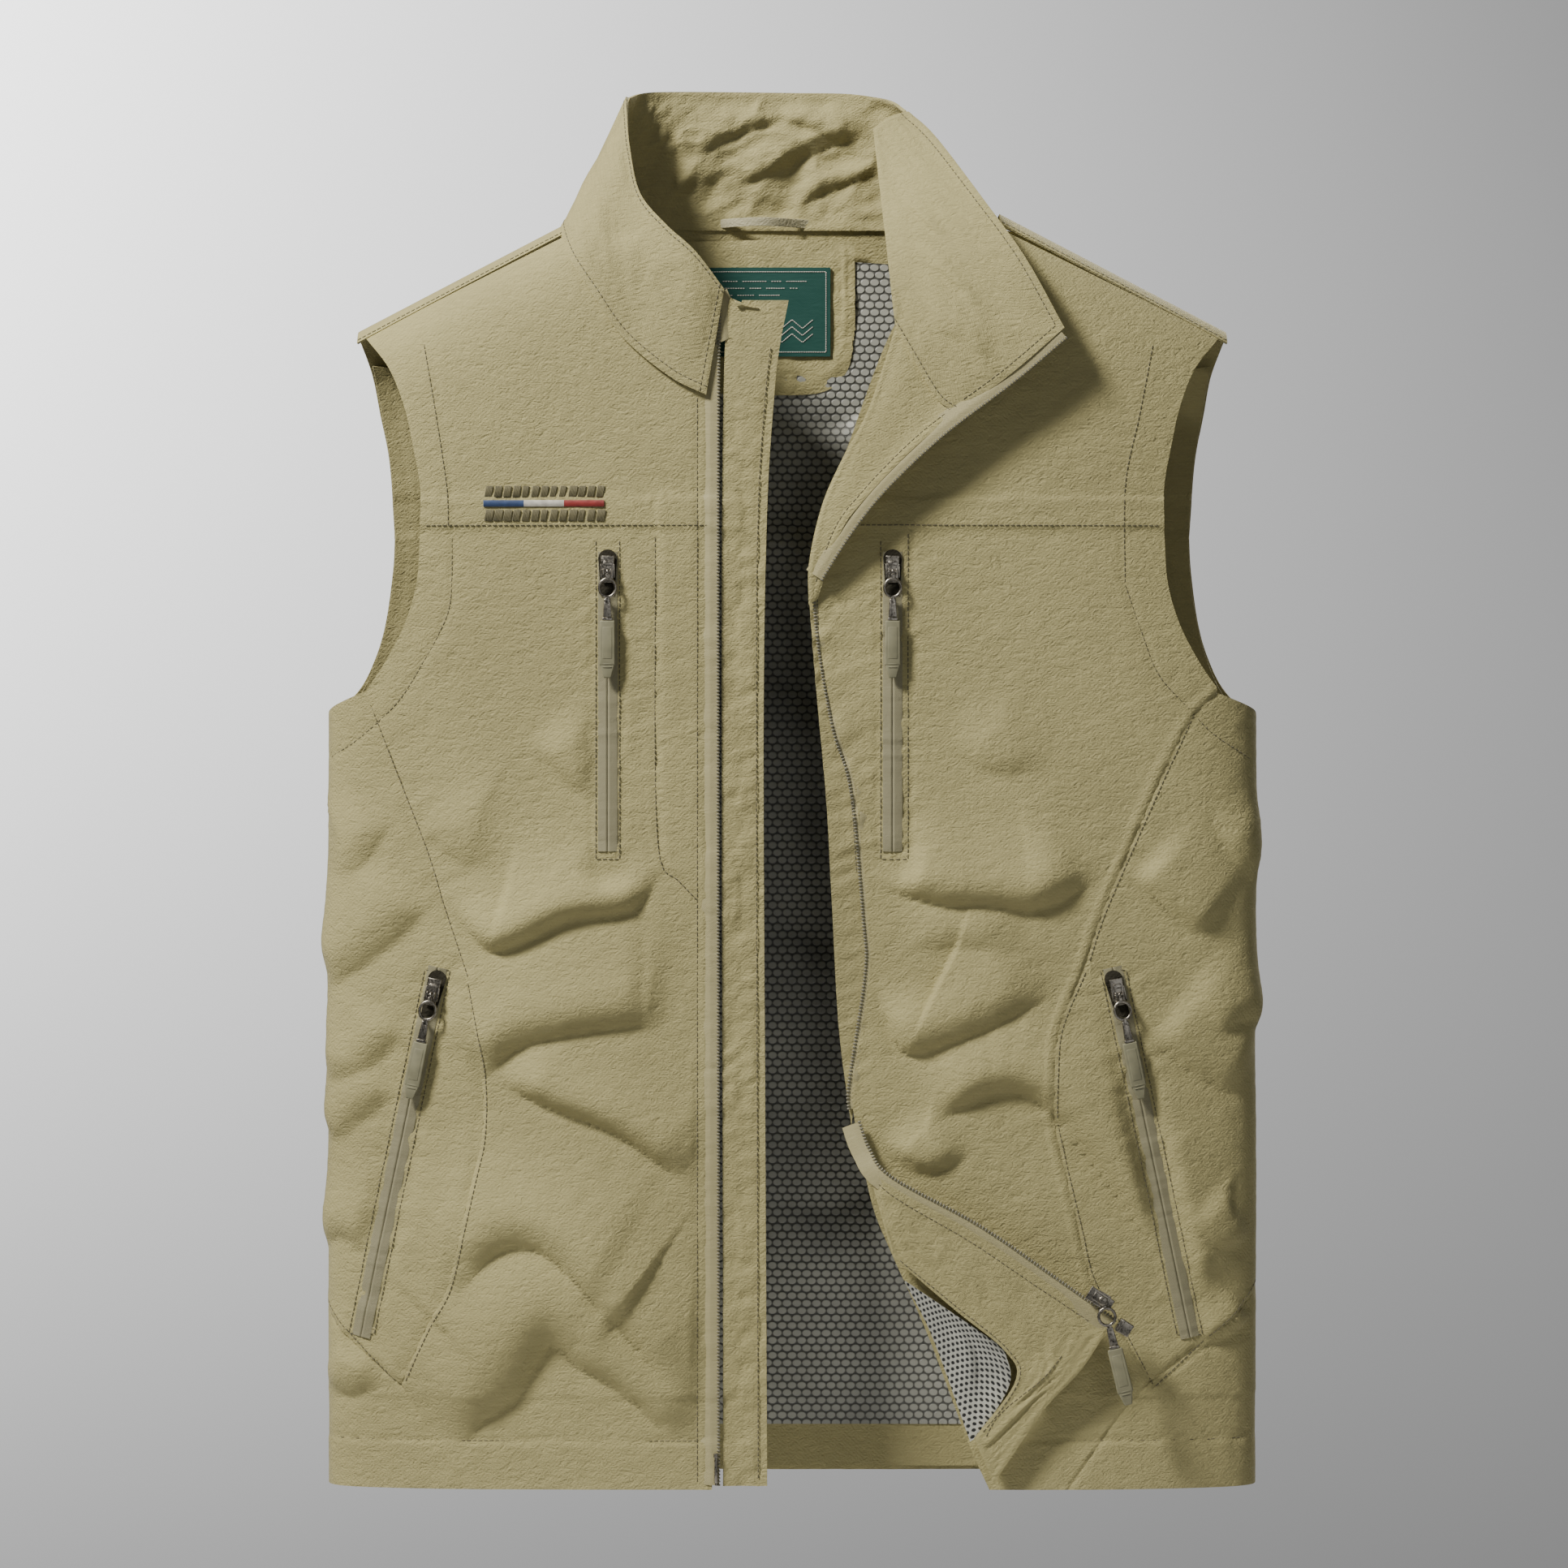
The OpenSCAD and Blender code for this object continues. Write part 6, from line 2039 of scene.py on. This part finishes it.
@dataclass
class Trims:
    """Hanger loop, woven label and embroidered bar."""

    label: tuple[float, float, float, float] = (-50, 639, 22, 690)

    def build(self) -> None:
        """Build the three trims."""
        self.hanger()
        self.woven_label()
        self.embroidery()

    def hanger(self) -> None:
        """Build the hanger tape, bowed forwards off the neck seam."""
        s = np.linspace(-1, 1, 61)
        crest = np.stack([-18 + 31 * s, 24 + 12.3 * s * s * (2 - s * s), np.full(61, 716.0)], -1)
        turn = np.linspace(0, math.pi, 7)
        bent = np.stack([-0.55 * np.cos(turn), 1.9 + 0.55 * np.sin(turn)], -1)
        section = np.vstack([[-0.55, -2.5], [-0.6, 0], bent, [0.6, 0], [0.55, -2.5]])
        grid = crest[None] + np.stack([np.zeros(len(section)), section[:, 0], section[:, 1]], -1)[:, None]
        flat = unfold(grid)
        turned = float(np.sign(-grid_normals(grid)[0, 30, 1]))
        obj = cloth_mesh("hanger_tape", FORM.row(grid), flat * MM, 0.5 * MM, turned)
        Cloth(name="hanger_tape", stands_for=("hanger_loop",), finish=HANGER, slot="hanger_tape",
              held="hung").declare(obj, grid * MM, flat * MM)

    def woven_label(self) -> None:
        """Build the label with a plain woven border, bars and chevrons."""
        x0, z0, x1, z1 = self.label
        skin = Skin(Face.BACK, Relief(Noise(61), broad=0.7, fine=0.05))
        BodyPanel(name="woven_label", stands_for=("neck_label",), finish=LABEL, slot="woven_label",
                  skin=skin, under=10.0, thick=0.8, step=1.5, **oblong(x0, x1, z0, z1)).build()
        rows = [level(x0 + 2.5, x1 - 2.5, z) for z in (z0 + 2.5, z1 - 2.5)]
        rows += [upright(x, z0 + 2.5, z1 - 2.5) for x in (x0 + 2.5, x1 - 2.5)]
        for k, z in enumerate((z1 - 8, z1 - 12, z1 - 16)):
            start = x0 + 10
            for width in ((9, 14, 6, 12), (13, 7, 11, 5), (6, 10, 12))[k]:
                rows.append(level(start, start + width, z))
                start += width + 2.5
        for k in range(3):
            z = z0 + 8 + 4 * k
            rows += [[(x, z), (x + 6, z + 5)] for x in range(int(x0) + 8, int(x1) - 12, 12)]
            rows += [[(x + 6, z + 5), (x + 12, z)] for x in range(int(x0) + 8, int(x1) - 18, 12)]
        group = Stitching("label_weaving", PALE_THREAD, pitch=1.3, length=1.25, radius=0.3)
        for row in rows:
            points, normals = skin.place(spline(FORM.to_girth(row), 3.0), -10.8)
            group.rows.append((points - normals * 0.15, -normals))
        group.build()

    def embroidery(self) -> None:
        """Build satin blocks above and below a bar in three colours."""
        rng = np.random.default_rng(5)
        self.satin("embroidered_blocks", THREAD_AND_SEAM_SHADE, "embroidery",
                   [(x + dx, z, 6.6, math.radians(80))
                    for z in (557.4, 544.0)
                    for x in np.arange(-171, -107, 5.2)
                    for dx in np.arange(0, 3.4 + rng.uniform(-0.5, 0.5), 0.62)])
        for k, (finish, word) in enumerate(((BLUE_THREAD, "blue"), (PALE_THREAD, "white"),
                                            (RED_THREAD, "red"))):
            first = -172 + 22.4 * k
            self.satin(f"embroidered_bar_{word}", finish, None,
                       [(x, 550.6, 3.9, math.radians(90)) for x in np.arange(first, first + 22.2, 0.5)])

    @staticmethod
    def satin(name: str, finish: Finish, stands_for: str | None, threads: list) -> None:
        """Lay satin threads on the right front.

        Args:
            name: The piece's name.
            finish: The thread.
            stands_for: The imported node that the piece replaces, if any.
            threads: [x, z], length and slope of each thread.
        """
        spots = np.array([(x, z) for x, z, _, _ in threads], float)
        points, normals = RIGHT.place(np.stack([FORM.girth(spots[:, 0]), spots[:, 1]], -1), 0.45)
        slope = np.array([a for _, _, _, a in threads])
        ahead = np.stack([np.cos(slope), np.zeros(len(slope)), np.sin(slope)], -1)
        side = np.cross(normals, ahead)
        verts, faces = capsule(threads[0][2], 0.42, 1.0, 5)
        obj = scatter(name, verts, faces, points, np.stack([ahead, side, normals], 1))
        wear(obj, finish)
        settle(obj, "vest", bends=True)
        if stands_for:
            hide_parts(stands_for)
        LOG.info("%s: %d threads", name, len(threads))


# ---- Studio ------------------------------------------------------------------------------


@dataclass
class Studio:
    """Camera, lights, backdrop glow and the floor under the hung vest."""

    lens: float = 100.0
    aim: tuple[float, float] = (-4.6, 394.0)
    distance: float = 2469.0
    floor_drop: float = 300.0

    def build(self) -> None:
        """Build the studio."""
        self.camera()
        self.lights()
        self.backdrop()
        self.floor()

    def camera(self) -> None:
        """Set the camera level with the vest's middle."""
        data = bpy.data.cameras.new("Camera")
        data.lens, data.sensor_width = self.lens, 36.0
        camera = bpy.data.objects.new("Camera", data)
        bpy.context.collection.objects.link(camera)
        camera.location = FORM.row([self.aim[0], -self.distance, self.aim[1]])
        camera.rotation_euler = (math.pi / 2, 0, 0)
        bpy.context.scene.camera = camera

    def lights(self) -> None:
        """Hang a soft key at the upper left, a weak fill and a rim."""
        self.light("Key", (-1450, -1150, 2300), 0.5, 112.0, (1.0, 0.975, 0.93))
        self.light("Fill", (900, -2300, 500), 1.2, 5.0, (0.97, 0.98, 1.0))
        self.light("Rim", (900, 1300, 1500), 1.0, 30.0, (1.0, 0.98, 0.95))

    def light(self, name: str, place: tuple, size: float, power: float, colour: tuple) -> None:
        """Hang one square area light that faces the vest's middle."""
        data = bpy.data.lights.new(name, "AREA")
        data.size, data.energy, data.color = size, power, colour
        lamp = bpy.data.objects.new(name, data)
        bpy.context.collection.objects.link(lamp)
        lamp.location = FORM.row(place)
        aim = Vector(FORM.row([0, 0, 400])) - lamp.location
        lamp.rotation_euler = aim.to_track_quat("-Z", "Y").to_euler()

    def backdrop(self) -> None:
        """Grade the world that the camera sees from pale at the upper left to grey at the lower right:
        painted light that falls off away from the key.
        """
        world = bpy.data.worlds.new("Studio")
        bpy.context.scene.world = world
        world.use_nodes = True
        w = Wires(world.node_tree)
        world.node_tree.nodes.clear()
        spot = w.add("ShaderNodeTexCoord")
        split = w.add("ShaderNodeSeparateXYZ")
        w.join(spot.outputs["Generated"], split.inputs[0])
        # The grade is painted light: the backdrop is brightest on the key's side and falls to grey.
        tone = w.maths("MULTIPLY_ADD", split.outputs[0], -0.86, 0.51)
        tone = w.maths("MULTIPLY_ADD", split.outputs[2], 0.67, tone)
        tone = w.maths("MULTIPLY_ADD", w.maths("MULTIPLY", split.outputs[0], split.outputs[2]), -2.5, tone)
        tone = w.maths("MULTIPLY_ADD", w.maths("MULTIPLY", split.outputs[2], split.outputs[2]), -1.85, tone)
        tone = w.maths("MINIMUM", w.maths("MAXIMUM", tone, 0.22), 0.8)
        tone = w.maths("EXPONENT", w.maths("MULTIPLY_ADD", tone, 4.65, -2.543))
        seen = w.add("ShaderNodeBackground")
        grey = w.add("ShaderNodeCombineColor")
        for socket in grey.inputs[:3]:
            w.join(tone, socket)
        w.join(grey.outputs[0], seen.inputs[0])
        glow = w.add("ShaderNodeBackground", Strength=0.08)
        glow.inputs[0].default_value = (0.95, 0.97, 1.0, 1)
        path = w.add("ShaderNodeLightPath")
        mix = w.add("ShaderNodeMixShader")
        out = w.add("ShaderNodeOutputWorld")
        w.join(path.outputs["Is Camera Ray"], mix.inputs[0])
        w.join(glow.outputs[0], mix.inputs[1])
        w.join(seen.outputs[0], mix.inputs[2])
        w.join(mix.outputs[0], out.inputs[0])

    def floor(self) -> None:
        """Lay a plain pale floor well below the hem."""
        Bench.clear()
        bpy.ops.mesh.primitive_cylinder_add(vertices=96, radius=0.8, depth=0.02,
                                            location=FORM.row([0, 0, -self.floor_drop]))
        floor = bpy.context.object
        floor.name = "studio_floor"
        Bench.soften(floor, 0.004)
        pale = bpy.data.materials.new("Pale floor")
        pale.use_nodes = True
        shader = pale.node_tree.nodes["Principled BSDF"]
        shader.inputs["Base Color"].default_value = (0.62, 0.62, 0.62, 1)
        shader.inputs["Roughness"].default_value = 0.7
        floor.data.materials.append(pale)


def main() -> None:
    """Build the vest in order."""
    logging.basicConfig(level=logging.INFO, format="%(name)s: %(message)s")
    back = Back()
    back.build()
    back.stitch()
    collar = Collar()
    collar.build()
    Shoulders().build()
    right = RightFront()
    right.build()
    right.stitch(collar.right)
    left = LeftFront()
    left.build()
    left.stitch()
    Zips().build()
    Trims().build()
    Studio().build()


if __name__ == "__main__":
    main()
